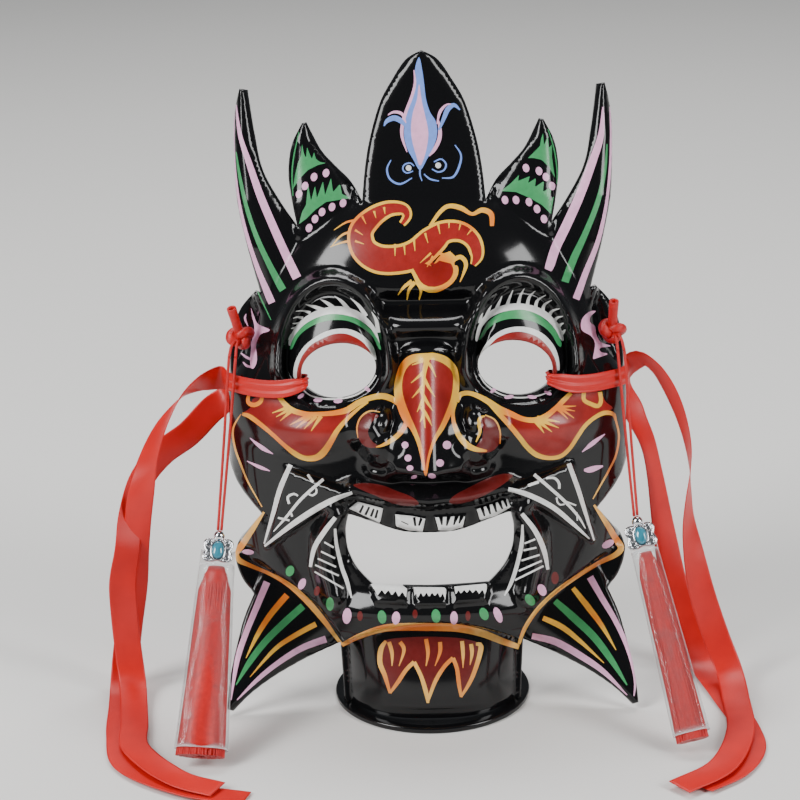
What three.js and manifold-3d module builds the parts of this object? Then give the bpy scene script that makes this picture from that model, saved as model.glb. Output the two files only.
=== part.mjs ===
// A lacquered demon mask that leans back on a round stand, with tie ribbons and tassels.
// Millimetres, +Z up. X runs to the viewer's right and the face looks towards -Y.
// The origin is the middle of the stand's underside.
import * as THREE from "three";
import { mergeVertices } from "three/addons/utils/BufferGeometryUtils.js";
import Module from "manifold-3d";

const wasm = await Module();
wasm.setup();

// Driving sizes of the pieces.
const WALL = 4;
const LEAN_DEGREES = 12;
const CLEARANCE = 0.3;
const STAND = { radius: 50.3, height: 3, bevel: 0.9, sides: 40 };
const CHIN_SETBACK = 17;
const FACE_MESH = 5.8;
// Where the mesh is fine: an oval round the middle of the face.
const FINE_OVAL = { v: 128, halfWide: 78, halfHigh: 98 };
const LOBE_MESH = 8;
const RIM_STEP = 4.6;
// How far a mesh point keeps from an edge, as a share of the mesh, and how far it is shaken.
const EDGE_SHARE = 0.62;
const SHAKE = { by: 1e-5, acrossTurn: 7, upTurn: 5 };
const MERGE = 1e-4;

// The face, in its own plane: x across, v up from the chin, depth towards the viewer.
const FACE = { x: 103, narrowX: 90, v: 150, up: 112, down: 175, edge: 10, rise: 52 };
const FACE_POWER = { x: 2.4, v: 2.6 };
const CHEEKBONE = { from: 150, to: 185 };
const FOREHEAD_GAP = { v: 199.5, deep: 6, halfHigh: 7, halfWide: 32 };
const BRIDGE = { v: 188.5, high: 6, halfHigh: 7, halfWide: 22 };
const NOSE = { top: 184, tip: 119, end: 111, rise: 6, reach: 21, narrow: 11, wide: 21 };
const WING = { x: 25, v: 138, radius: 17, high: 12 };
const NOSTRIL = { x: 22, v: 122, radius: 14, high: 9 };
const CHEEK = { x: 62, v: 137, halfWide: 37, halfHigh: 17, high: 9 };
const EYE = { x: 44, v: 166.5, halfWide: 18.8, halfHigh: 13.8, tiltDegrees: 11 };
const SOCKET = { x: 46.5, v: 168, halfWide: 31.5, up: 48, down: 24 };
const BROW_ROLL = { at: 0.91, width: 0.13, high: 7 };
const EYE_HOLLOW = { at: 0.73, width: 0.14, deep: 4 };
const LID = { radius: 0.66, high: 5 };
const UPPER_LIP = { high: 7, halfWidth: 7 };
const TUSK = { high: 10, halfWidth: 9 };
const PLATE_RISE = 3;
const LOWER_LIP = { v: 45, halfHigh: 12, high: 5, halfWide: 60 };
const JAW = { middle: 66, fall: 43, halfWide: 100, power: 1.8 };
const CHIN = { halfWide: 46.5, edge: 10, rise: 46, power: 2.6 };
const CHIN_SWELL = { v: 6, high: 4, halfHigh: 44 };
const JAW_LINE = { dip: 12.5, middle: 37.6, edge: 44.5 };
const JAW_STEP = 2.5;

// Horns, crown, ears and fins: [x, v, half width, depth] along each middle line.
const CROWN = { rise: 4, line: [[0, 236, 31, 36], [0, 262, 29.5, 31], [0, 280, 26.6, 28],
  [0, 298, 21.3, 26], [0, 312, 13, 25], [0, 325, 3, 24]] };
const BIG_HORN = { rise: 7, line: [[64, 205, 20, 25], [76, 230, 14.5, 25], [83.5, 250, 11, 22],
  [89.5, 278, 6, 17], [90.8, 307, 2.4, 14]] };
const SMALL_HORN = { rise: 5, line: [[48, 236, 18, 30], [52, 253, 15, 28], [56, 266, 11, 25],
  [60, 279, 5.7, 23], [59.7, 290, 1.6, 22]] };
const EAR = { rise: 4, line: [[92, 146, 12, 10], [93, 175, 10, 10], [87, 204, 3, 12]] };
const FIN = { rise: 4, reach: Infinity, line: [[66, 46, 26, 28], [88, 20, 17, 34], [106, -9, 3, 41]] };
const LOBES = [CROWN, BIG_HORN, SMALL_HORN, EAR];

// Outline of the right half, from the crown's tip down to the chin: [x, v], rounded between breaks.
const CROWN_EDGE = [[0, 323.5], [8, 319], [15, 309], [21.3, 297.7], [26.6, 280.3], [29.4, 265], [31, 249]];
const SMALL_HORN_INNER = [[31, 249], [36.7, 258.8], [43.8, 266.2], [51.5, 275], [58.4, 288.6]];
const SMALL_HORN_OUTER = [[60.6, 288.2], [66, 277.6], [68, 266], [67.4, 255], [64, 237]];
const BIG_HORN_INNER = [[64, 237], [72.4, 249], [80.9, 265], [84.9, 283.5], [88, 305.2]];
const BIG_HORN_OUTER = [[92, 305.8], [95, 293], [95.6, 277.5], [94.5, 250.9], [90, 228.3], [83.6, 203.4]];
const EAR_EDGE = [[86.6, 203.6], [95.5, 193], [100, 178], [101.5, 152], [101.6, 131], [102.6, 119],
  [97.5, 106], [85, 92]];
const JAW_EDGE = [[85, 92], [94, 80.5], [99.8, 70.7], [97, 58], [90.6, 49.1]];
const FIN_OUTER = [[90.6, 49.1], [95.5, 38], [98.5, 28], [103, 9], [105, -8.2]];
const FIN_LOWER = [[102, -9.6], [93, -1], [80.4, 7.4], [65, 15], [47, 22.5]];
const CHIN_EDGE = [[47, 22.5], [46.2, 10], [45.5, -4], [44, -16]];
const HALF_OUTLINE = [CROWN_EDGE, SMALL_HORN_INNER, SMALL_HORN_OUTER, BIG_HORN_INNER, BIG_HORN_OUTER,
  EAR_EDGE, JAW_EDGE, FIN_OUTER, FIN_LOWER, CHIN_EDGE];
const MOUTH_TOP = [[0, 84.5], [14, 85.5], [29, 90.5], [40.5, 94.5]];
const MOUTH_SIDE = [[40.5, 94.5], [42, 86], [41, 75.5], [36.5, 66.8], [29, 59]];
const HALF_MOUTH = [MOUTH_TOP, MOUTH_SIDE, [[29, 59], [0, 58.6]]];
const SIDE_JAW_LINE = [[44.5, 25.1], [50, 34], [57.5, 43.5], [70, 53], [83.6, 62], [100, 70.7]];
const LIP_LINE = [[0, 102], [20, 104], [38, 108], [52, 101]];
const TUSK_LINE = [[46.5, 95], [52.5, 82], [52.5, 68], [49, 54]];
const PLATE_CORNERS = [[71, 117, 50], [39.7, 107, 68], [83.8, 73.8, 38]];

// Ties and tassels.
const RIBBON = { width: 14, overCheek: 9, throughEye: 4, thickness: 1, lift: 2.4, near: 1.5, step: 7 };
const KNOT = { x: 94, v: 181, radius: 6.9, gap: 7.5, stub: 2.5, stubLength: 15, stubLeanDegrees: 12 };
const CORD = { diameter: 1.5, out: 4, forward: 9.4, apart: 3.4, together: 1.7, sides: 8, steps: 7, sag: 1.5 };
const CHARM = { halfWide: 9.6, halfTall: 8, thick: 2.4, notch: 0.3, eyelet: 2.8, sunk: 0.2, sides: 28 };
const STONE = { halfWide: 3, halfTall: 4.6, high: 1.8 };
const TASSEL = { length: 95, gap: 1.6, flat: 0.62, sides: 12 };
const SLEEVE = { length: 99, halfDeep: 7, wall: 0.5, corner: 2 };
// The left film lies flat to the viewer and the right one is seen half from its side.
const HANG = {
  left: { side: -1, x: 107.2, y: -12, swingDegrees: 41.7, spreadDegrees: 5, top: 9, foot: 13.4 },
  right: { side: 1, x: 106.5, y: -12, swingDegrees: 37, spreadDegrees: 14.5, top: 7, foot: 9.4 },
};

// Each free ribbon end from the face's side to the cut end: [x, y, z, then the way its width points].
const LEFT_FRONT = [[-105, 32, 163, 0, -0.2, 1], [-114, 28, 162, 0, -0.6, 0.8],
  [-124, 23, 157, 0.1, -0.9, 0.4], [-130, 20, 150, 0.2, -1, 0.1], [-137, 18, 139, 0.5, -0.85, 0],
  [-143, 16, 125, 0.7, -0.7, 0], [-148, 15, 105, 1, -0.2, 0], [-152, 17, 78, 1, 0, 0],
  [-154, 18, 55, 1, 0.3, 0], [-158, 17, 32, 1, 0.2, 0], [-161, 13, 10, 1, 0.1, 0],
  [-161, 2, 3, 1, 0, 0], [-160, -14, 1.6, 1, 0, 0], [-158, -45, 1.4, 1, -0.1, 0],
  [-150, -81, 1.4, 0.8, -0.6, 0], [-119, -108, 1.4, 0.5, -0.85, 0], [-90, -117, 1.4, 0.4, -0.9, 0]];
const LEFT_BACK = [[-105, 50, 146, -0.2, 0.5, 0.9], [-113, 46, 140, -0.5, 0.2, 0.8],
  [-124, 40, 130, -0.7, 0, 0.7], [-137, 34, 122, -0.6, -0.1, 0.8], [-148, 28, 110, -0.9, -0.3, 0.4],
  [-154, 19, 94, -1, -0.3, 0.1], [-156, 10, 78, -1, -0.2, 0], [-159, 8, 61, -1, 0, 0],
  [-159, 8, 44, -1, 0, 0], [-158, 7, 24, -1, 0, 0], [-156, 1, 9, -1, 0, 0],
  [-154, -14, 4.6, -1, 0, 0], [-151, -40, 3.8, -1, 0.1, 0], [-148, -66, 3.6, -0.9, 0.4, 0],
  [-124, -100, 3.4, -0.6, 0.8, 0], [-104, -111, 3.4, -0.5, 0.85, 0]];
const RIGHT_FRONT = [[104, 32, 166, 0, -0.2, 1], [109, 30, 170, 0, -0.6, 0.8],
  [116, 27, 166, 0.3, -0.85, 0.45], [122, 24, 158, 0.45, -0.85, 0.3], [127, 21, 148, 0.45, -0.9, 0.1],
  [130.5, 19, 138, 0.35, -0.95, 0], [133, 18, 127, 0.2, -1, 0], [134, 17, 114, -0.1, -1, 0],
  [133.4, 16, 100, -0.35, -0.95, 0], [133.2, 15, 87, -0.5, -0.85, 0], [135, 14, 73, -0.75, -0.65, 0],
  [140, 12, 49, -1, -0.3, 0], [148, 9, 24, -1, -0.1, 0], [154, 0, 9, -1, 0, 0],
  [155, -24, 4.4, -1, 0, 0], [153, -60, 3.6, -1, 0.2, 0], [139, -98, 3.4, -0.85, 0.55, 0],
  [117, -117, 3.4, -0.75, 0.65, 0]];
const RIGHT_BACK = [[104, 50, 143, 0.1, 0.4, 0.9], [108, 46, 133, 0.4, 0.7, 0.4],
  [114, 42, 120, 0.5, 0.8, 0.2], [118, 40, 103, 0.6, 0.75, 0.1], [123, 36, 72, 0.85, 0.5, 0],
  [127.5, 33, 47, 1, 0.25, 0], [134, 29, 22, 1, 0.1, 0], [141, 20, 5, 1, 0.1, 0],
  [150, -15, 1.6, 1, 0.2, 0], [157, -50, 1.4, 1, 0.1, 0], [157, -74, 1.4, 1, -0.1, 0],
  [146, -98, 1.4, 0.8, -0.6, 0], [128, -114, 1.4, 0.75, -0.65, 0]];
// Where each ribbon lies against the face, from the side to the eye: [x, v] in the mask's plane.
const OVER_CHEEK = [[101, 158.5], [92, 157.5], [82, 157], [73, 157.5], [66, 159], [60.5, 160.8]];
const THROUGH_EYE = { x: 58.6, v: 161.2 };
const BEHIND_CHEEK = [[60.5, 160.8], [66, 159.5], [78, 158.5], [92, 156], [103, 154]];

// Further than any of the mask's points lies from the foot of its plane.
const REACH = 2 * (FACE.v + FACE.up);
const lean = THREE.MathUtils.degToRad(LEAN_DEGREES);
const clamp = (t) => Math.min(1, Math.max(0, t));
const smooth = (t) => clamp(t) ** 2 * (3 - 2 * clamp(t));
const mound = (t) => (1 - clamp(t * t)) ** 2;
const dome = (t) => Math.sqrt(1 - clamp(t * t));

// Nearest place on a line of points: how far off, which stretch and how far along it.
function nearest(line, x, v) {
  let best = { distance: Infinity, index: 0, along: 0 };
  for (let i = 0; i + 1 < line.length; i++) {
    const [ax, av] = line[i];
    const [bx, bv] = line[i + 1];
    const along = clamp(((x - ax) * (bx - ax) + (v - av) * (bv - av)) / ((bx - ax) ** 2 + (bv - av) ** 2));
    const distance = Math.hypot(x - ax - along * (bx - ax), v - av - along * (bv - av));
    if (distance < best.distance) best = { distance, index: i, along };
  }
  return best;
}

// Depth of a horn, ear or fin: a rounded ridge along its middle line, and nothing beyond its reach.
function lobeDepth({ line, rise, reach = WALL }, x, v) {
  const near = nearest(line, x, v);
  const from = line[near.index];
  const to = line[near.index + 1];
  const width = from[2] + near.along * (to[2] - from[2]);
  const depth = from[3] + near.along * (to[3] - from[3]);
  return near.distance > width + reach ? -Infinity : depth + rise * dome(near.distance / width);
}

// Height of a rounded roll along a line, of a round bump, and of a level bar with soft edges.
const roll = (line, { high, halfWidth }, x, v) => high * mound(nearest(line, x, v).distance / halfWidth);
const swell = (t) => dome(t) ** 3;
const bump = ({ x: cx, v: cv, radius, high }, x, v) => high * swell(Math.hypot(x - cx, v - cv) / radius);
const bar = ({ v: cv, halfHigh, halfWide }, x, v) => mound((v - cv) / halfHigh) * mound((x / halfWide) ** 3);

// The lower edge of the jaw, as a height at each x.
function jawLine(x) {
  if (x < JAW_LINE.edge) return JAW_LINE.middle - JAW_LINE.dip * (x / JAW_LINE.edge) ** 2;
  for (let i = 0; i + 1 < SIDE_JAW_LINE.length; i++) {
    const [ax, av] = SIDE_JAW_LINE[i];
    const [bx, bv] = SIDE_JAW_LINE[i + 1];
    if (x <= bx) return av + ((x - ax) / (bx - ax)) * (bv - av);
  }
  return SIDE_JAW_LINE.at(-1)[1];
}

// The broad dome of the head, narrower above the cheekbones.
function headDepth(x, v) {
  const narrowing = smooth((v - CHEEKBONE.from) / (CHEEKBONE.to - CHEEKBONE.from));
  const half = FACE.x + (FACE.narrowX - FACE.x) * narrowing;
  const tall = v > FACE.v ? FACE.up : FACE.down;
  const q = (x / half) ** FACE_POWER.x + (Math.abs(v - FACE.v) / tall) ** FACE_POWER.v;
  return q > 1 ? -Infinity : FACE.edge + FACE.rise * Math.sqrt(1 - q);
}

// The nose widens and rises towards its tip and ends steeply above the lip.
function noseHeight(x, v) {
  const t = clamp((NOSE.top - v) / (NOSE.top - NOSE.tip));
  const width = NOSE.narrow + (NOSE.wide - NOSE.narrow) * t;
  const start = smooth((NOSE.top - v) / NOSE.narrow);
  const end = smooth((v - NOSE.end) / (NOSE.tip - NOSE.end));
  return (NOSE.rise * start + NOSE.reach * t) * end * mound((x / width) * Math.SQRT1_2) * dome(x / width);
}

// Brow roll, hollow and lid, as rings round the eye.
function eyeRelief(x, v) {
  const tall = v > SOCKET.v ? SOCKET.up : SOCKET.down;
  const ring = Math.hypot((x - SOCKET.x) / SOCKET.halfWide, (v - SOCKET.v) / tall);
  const above = smooth((v - SOCKET.v + EYE.halfHigh) / EYE.halfHigh);
  const raised = BROW_ROLL.high * above * mound((ring - BROW_ROLL.at) / BROW_ROLL.width);
  const sunk = EYE_HOLLOW.deep * mound((ring - EYE_HOLLOW.at) / EYE_HOLLOW.width);
  return raised - sunk + LID.high * dome(ring / LID.radius);
}

// A fang plate is flat: its depth on the plane through its three corners, and whether it is there.
function plateDepth(x, v) {
  const [[ax, av, ad], [bx, bv, bd], [cx, cv, cd]] = PLATE_CORNERS;
  const area = (bx - ax) * (cv - av) - (cx - ax) * (bv - av);
  const b = ((x - ax) * (cv - av) - (cx - ax) * (v - av)) / area;
  const c = ((bx - ax) * (v - av) - (x - ax) * (bv - av)) / area;
  const inside = Math.min(b, c, 1 - b - c) >= 0;
  return inside ? ad + b * (bd - ad) + c * (cd - ad) + PLATE_RISE : 0;
}

// Depth of the front over the mask's own plane, or minus infinity where the mask has no form.
function formDepth(signedX, v) {
  const x = Math.abs(signedX);
  const round = Math.sqrt(clamp(1 - (x / CHIN.halfWide) ** CHIN.power));
  const swollen = CHIN_SWELL.high * (mound((v - CHIN_SWELL.v) / CHIN_SWELL.halfHigh) - 1);
  const chin = CHIN.edge + (CHIN.rise + swollen) * round;
  const below = x < CHIN.halfWide ? Math.max(chin, lobeDepth(FIN, x, v)) : lobeDepth(FIN, x, v);
  const aboveJaw = smooth((v - jawLine(x)) / JAW_STEP);
  if (aboveJaw === 0) return below;
  const jaw = JAW.middle - JAW.fall * (x / JAW.halfWide) ** JAW.power;
  const jawHeight = jaw * smooth((FACE.v / 2 - v) / WALL);
  const carved = noseHeight(x, v) + eyeRelief(x, v) + bump(WING, x, v) + bump(NOSTRIL, x, v)
    + CHEEK.high * mound(Math.hypot((x - CHEEK.x) / CHEEK.halfWide, (v - CHEEK.v) / CHEEK.halfHigh))
    + roll(LIP_LINE, UPPER_LIP, x, v) + roll(TUSK_LINE, TUSK, x, v)
    + LOWER_LIP.high * bar(LOWER_LIP, x, v)
    + BRIDGE.high * bar(BRIDGE, x, v) - FOREHEAD_GAP.deep * bar(FOREHEAD_GAP, x, v);
  const head = Math.max(headDepth(x, v), jawHeight || -Infinity) + carved;
  const lobes = LOBES.map((lobe) => lobeDepth(lobe, x, v));
  const above = Math.max(head, plateDepth(x, v) || -Infinity, ...lobes);
  return aboveJaw === 1 ? above : below + (Math.max(above, FACE.edge) - below) * aboveJaw;
}

const frontDepth = (x, v) => Math.max(formDepth(x, v), FACE.edge);

// Back surface: everywhere about one wall behind the front, also across a step.
const RING = Array.from({ length: 8 }, (_, i) => (i * Math.PI) / 4);
function backDepth(x, v) {
  const slant = WALL * Math.SQRT1_2;
  const around = RING.map((a) => formDepth(x + slant * Math.cos(a), v + slant * Math.sin(a)) - slant);
  return Math.min(frontDepth(x, v) - WALL, ...around.filter(Number.isFinite));
}

// A closed loop of evenly spaced points from half an outline, mirrored.
function mirroredLoop(parts, step) {
  const half = [];
  for (const part of parts) {
    const curve = new THREE.SplineCurve(part.map(([x, v]) => new THREE.Vector2(x, v)));
    const count = Math.max(1, Math.round(curve.getLength() / step));
    for (const p of curve.getSpacedPoints(count)) {
      const last = half.at(-1);
      if (!last || Math.hypot(p.x - last[0], p.y - last[1]) > step / 8) half.push([p.x, p.y]);
    }
  }
  const mirrored = half.filter(([x]) => x > step / 8).map(([x, v]) => [-x, v]).reverse();
  return [...half, ...mirrored];
}

function eyeLoop(side, step) {
  const tilt = THREE.MathUtils.degToRad(EYE.tiltDegrees);
  const count = Math.round((Math.PI * (EYE.halfWide + EYE.halfHigh)) / step);
  return Array.from({ length: count }, (_, i) => {
    const a = (2 * Math.PI * i) / count;
    const across = EYE.halfWide * Math.cos(a);
    const up = EYE.halfHigh * Math.sin(a);
    const x = EYE.x + across * Math.cos(tilt) + up * Math.sin(tilt);
    return [side * x, EYE.v + up * Math.cos(tilt) - across * Math.sin(tilt)];
  });
}

function isInside(loop, x, v) {
  let inside = false;
  for (let i = 0, j = loop.length - 1; i < loop.length; j = i++) {
    const [ax, av] = loop[i];
    const [bx, bv] = loop[j];
    if (av > v !== bv > v && x < ((bx - ax) * (v - av)) / (bv - av) + ax) inside = !inside;
  }
  return inside;
}

// Delaunay triangles of points in the plane, by adding one point at a time.
function delaunay(points) {
  const far = 1e4;
  const all = [...points, [-far, -far], [far, -far], [0, far]];
  const count = points.length;
  const circle = (a, b, c) => {
    const [ax, ay] = all[a];
    const bx = all[b][0] - ax;
    const by = all[b][1] - ay;
    const cx = all[c][0] - ax;
    const cy = all[c][1] - ay;
    const d = 2 * (bx * cy - by * cx);
    const x = (cy * (bx * bx + by * by) - by * (cx * cx + cy * cy)) / d;
    const y = (bx * (cx * cx + cy * cy) - cx * (bx * bx + by * by)) / d;
    return { corners: [a, b, c], x: ax + x, y: ay + y, r2: x * x + y * y };
  };
  let triangles = [circle(count, count + 1, count + 2)];
  for (let i = 0; i < count; i++) {
    const [px, py] = all[i];
    const open = new Map();
    const kept = [];
    for (const t of triangles) {
      if ((px - t.x) ** 2 + (py - t.y) ** 2 >= t.r2) {
        kept.push(t);
        continue;
      }
      const [a, b, c] = t.corners;
      for (const [m, n] of [[a, b], [b, c], [c, a]]) {
        if (!open.delete(`${n},${m}`)) open.set(`${m},${n}`, [m, n]);
      }
    }
    triangles = kept.concat([...open.values()].map(([m, n]) => circle(m, n, i)));
  }
  return triangles.map((t) => t.corners).filter((t) => Math.max(...t) < count);
}

// Points inside the loops on a staggered grid, clear of every edge.
function innerPoints(outline, holes, edgePoints, step, wanted) {
  const points = [];
  const rows = Math.ceil(REACH / step);
  for (let row = -rows; row < rows; row++) {
    const v = row * step * Math.sin(Math.PI / 3);
    for (let column = -rows; column <= rows; column++) {
      const x = (column + (row % 2 ? 0.5 : 0)) * step;
      if (!wanted(x, v) || !isInside(outline, x, v)) continue;
      if (holes.some((hole) => isInside(hole, x, v))) continue;
      if (edgePoints.some(([ex, ev]) => Math.hypot(ex - x, ev - v) < step * EDGE_SHARE)) continue;
      points.push([x, v]);
    }
  }
  return points;
}

// Triangles of the mask's plane: dense over the face, wider on horns, crown and fins.
function planeMesh() {
  const outline = mirroredLoop(HALF_OUTLINE, RIM_STEP);
  const holes = [eyeLoop(1, RIM_STEP), eyeLoop(-1, RIM_STEP), mirroredLoop(HALF_MOUTH, RIM_STEP)];
  const loops = [outline, ...holes];
  const edges = loops.flat();
  const onFace = (x, v) =>
    Math.hypot(x / FINE_OVAL.halfWide, (v - FINE_OVAL.v) / FINE_OVAL.halfHigh) < 1;
  const fine = innerPoints(outline, holes, edges, FACE_MESH, onFace);
  const wide = innerPoints(outline, holes, [...edges, ...fine], LOBE_MESH, (x, v) => !onFace(x, v));
  const shaken = ([x, v], i) =>
    [x + SHAKE.by * Math.sin(SHAKE.acrossTurn * i), v + SHAKE.by * Math.cos(SHAKE.upTurn * i)];
  const points = [...edges, ...fine, ...wide].map(shaken);
  const triangles = delaunay(points).filter((t) => {
    const x = (points[t[0]][0] + points[t[1]][0] + points[t[2]][0]) / 3;
    const v = (points[t[0]][1] + points[t[1]][1] + points[t[2]][1]) / 3;
    return isInside(outline, x, v) && !holes.some((hole) => isInside(hole, x, v));
  });
  return { points, triangles: triangles.map((t) => anticlockwise(points, t)) };
}

function anticlockwise(points, [a, b, c]) {
  const [ax, av] = points[a];
  const turn = (points[b][0] - ax) * (points[c][1] - av) - (points[c][0] - ax) * (points[b][1] - av);
  return turn > 0 ? [a, b, c] : [a, c, b];
}

// A place on the mask's plane, in the part's frame.
function onMask(x, v, depth) {
  const y = CHIN_SETBACK + v * Math.sin(lean) - depth * Math.cos(lean);
  const z = STAND.height + CLEARANCE + v * Math.cos(lean) + depth * Math.sin(lean);
  return new THREE.Vector3(x, y, z);
}

function geometryFrom(positions, index) {
  const geometry = new THREE.BufferGeometry();
  geometry.setAttribute("position", new THREE.Float32BufferAttribute(positions, 3));
  geometry.setIndex(index);
  return geometry;
}

// Front and back of the mask, joined by a wall along every edge.
function maskShell() {
  const { points, triangles } = planeMesh();
  const count = points.length;
  const front = points.map(([x, v]) => onMask(x, v, frontDepth(x, v)));
  const back = points.map(([x, v]) => onMask(x, v, backDepth(x, v)));
  const index = [];
  const open = new Map();
  for (const [a, b, c] of triangles) {
    index.push(a, b, c, count + a, count + c, count + b);
    for (const [m, n] of [[a, b], [b, c], [c, a]]) {
      if (!open.delete(`${n},${m}`)) open.set(`${m},${n}`, [m, n]);
    }
  }
  for (const [m, n] of open.values()) index.push(m, count + m, n, n, count + m, count + n);
  return geometryFrom([...front, ...back].flatMap((p) => p.toArray()), index);
}

const positionsOnly = (geometry) => {
  const bare = geometry.clone();
  bare.deleteAttribute("normal");
  bare.deleteAttribute("uv");
  return mergeVertices(bare, MERGE);
};

function solid(geometry) {
  const merged = positionsOnly(geometry);
  const vertProperties = merged.getAttribute("position").array;
  const triVerts = new Uint32Array(merged.index.array);
  return new wasm.Manifold(new wasm.Mesh({ numProp: 3, vertProperties, triVerts }));
}

function fromSolid(shape) {
  const mesh = shape.getMesh();
  return geometryFrom(mesh.vertProperties, [...mesh.triVerts]);
}

// The chin is cut level, so that the mask stands on the disc.
function maskGeometry() {
  const size = REACH;
  const below = new THREE.BoxGeometry(size, size, size);
  below.translate(0, 0, STAND.height + CLEARANCE - size / 2);
  const chinOnly = new THREE.BoxGeometry(2 * (CHIN.halfWide + WALL), size, size);
  const cut = solid(below).intersect(solid(chinOnly));
  return fromSolid(solid(maskShell()).subtract(cut));
}

function standGeometry() {
  const { radius, height, bevel, sides } = STAND;
  const profile = [[0, 0], [radius - bevel, 0], [radius, bevel], [radius, height - bevel],
    [radius - bevel, height], [0, height]].map(([r, z]) => new THREE.Vector2(r, z));
  return new THREE.LatheGeometry(profile, sides).rotateX(Math.PI / 2);
}

// A closed loft through rings of points that all have the same number of points.
function loft(rings) {
  const n = rings[0].length;
  const positions = rings.flat().flatMap((p) => p.toArray());
  const index = [];
  for (let r = 0; r + 1 < rings.length; r++) {
    for (let i = 0; i < n; i++) {
      const a = r * n + i;
      const b = r * n + ((i + 1) % n);
      index.push(a, b, a + n, b, b + n, a + n);
    }
  }
  const last = (rings.length - 1) * n;
  for (let i = 1; i + 1 < n; i++) index.push(0, i + 1, i, last, last + i, last + i + 1);
  return geometryFrom(positions, index);
}

// One ribbon: a free end, over the cheek, in through the eye, back behind the cheek, the other free end.
function ribbonGeometry(side, front, back) {
  const stops = [];
  const free = ([x, y, z, ...width]) =>
    stops.push({ at: new THREE.Vector3(x, y, z), width, half: RIBBON.width / 2 });
  const against = (x, v, depth, across) => {
    const width = [0, Math.sin(lean), Math.cos(lean)];
    stops.push({ at: onMask(side * x, v, depth), width, half: across / 2 });
  };
  [...front].reverse().forEach(free);
  const rim = OVER_CHEEK.at(-1);
  const across = ([x]) => (x > rim[0] ? RIBBON.overCheek : RIBBON.throughEye);
  for (const at of OVER_CHEEK) against(...at, ribbonDepth(frontDepth, ...at, 1), across(at));
  const inEye = (frontDepth(...rim) + backDepth(...rim)) / 2;
  against(THROUGH_EYE.x, THROUGH_EYE.v, inEye, RIBBON.throughEye);
  for (const at of BEHIND_CHEEK) against(...at, ribbonDepth(backDepth, ...at, -1), across(at));
  back.forEach(free);
  const path = new THREE.CatmullRomCurve3(stops.map((stop) => stop.at), false, "centripetal");
  const widths = new THREE.CatmullRomCurve3(stops.map((stop) => new THREE.Vector3(...stop.width)));
  const count = Math.round(path.getLength() / RIBBON.step);
  const rings = Array.from({ length: count + 1 }, (_, i) => {
    const t = path.getUtoTmapping(i / count);
    const place = t * (stops.length - 1);
    const index = Math.min(Math.floor(place), stops.length - 2);
    const half = THREE.MathUtils.lerp(stops[index].half, stops[index + 1].half, place - index);
    const along = path.getTangent(t);
    const flat = widths.getPoint(t).addScaledVector(along, -widths.getPoint(t).dot(along)).normalize();
    const up = along.clone().cross(flat).multiplyScalar(RIBBON.thickness / 2);
    const wide = flat.multiplyScalar(half);
    const middle = path.getPoint(t);
    const lowest = middle.z - Math.abs(wide.z) - Math.abs(up.z);
    middle.z += Math.max(0, CLEARANCE - lowest);
    return [[1, 1], [-1, 1], [-1, -1], [1, -1]].map(([a, b]) =>
      middle.clone().addScaledVector(wide, a).addScaledVector(up, b));
  });
  return loft(rings);
}

// A ribbon clears the highest of the surface across its own width.
function ribbonDepth(depthAt, x, v, way) {
  const across = [-1, -0.5, 0, 0.5, 1].map((share) => share * RIBBON.overCheek);
  const heights = across.flatMap((up) => [0, -1, 1].map((out) => way * depthAt(x + out * RIBBON.near, v + up)));
  return way * (Math.max(...heights.filter((h) => Math.abs(h) < FACE.v)) + RIBBON.lift);
}

// The knot's middle: its ball just clears the face around it.
function knotPlace(side) {
  const slant = KNOT.radius * Math.SQRT1_2;
  const depthTowards = (a) => frontDepth(KNOT.x + slant * Math.cos(a), KNOT.v + slant * Math.sin(a));
  const around = RING.map((a) => depthTowards(a) + slant);
  const depth = Math.max(frontDepth(KNOT.x, KNOT.v) + KNOT.radius, ...around) + KNOT.gap;
  return onMask(side * KNOT.x, KNOT.v, depth);
}

// A knotted ball with a short stub of cord standing up from it.
function knotGeometry(side) {
  const ball = solid(new THREE.SphereGeometry(KNOT.radius, 10, 8));
  const stub = new THREE.CylinderGeometry(KNOT.stub, KNOT.stub, KNOT.stubLength, 8);
  stub.translate(0, KNOT.radius / 2 + KNOT.stubLength / 2, 0).rotateX(Math.PI / 2);
  stub.rotateY(side * THREE.MathUtils.degToRad(KNOT.stubLeanDegrees));
  return fromSolid(ball.add(solid(stub)));
}

// The hanging frame of one tassel: the charm's middle, with -Z along the tassel down to the table.
function hangingFrame({ side, x, y, swingDegrees, spreadDegrees, foot }) {
  const swing = THREE.MathUtils.degToRad(swingDegrees);
  const spread = THREE.MathUtils.degToRad(spreadDegrees);
  const frame = new THREE.Group();
  frame.rotation.set(-swing, -side * spread, 0, "YXZ");
  const down = CHARM.halfTall + SLEEVE.length;
  const z = down * Math.cos(swing) * Math.cos(spread) + SLEEVE.halfDeep * Math.sin(swing)
    + foot * Math.sin(spread) + CLEARANCE;
  frame.position.set(side * x, y, z);
  frame.updateMatrix();
  return frame;
}

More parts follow.
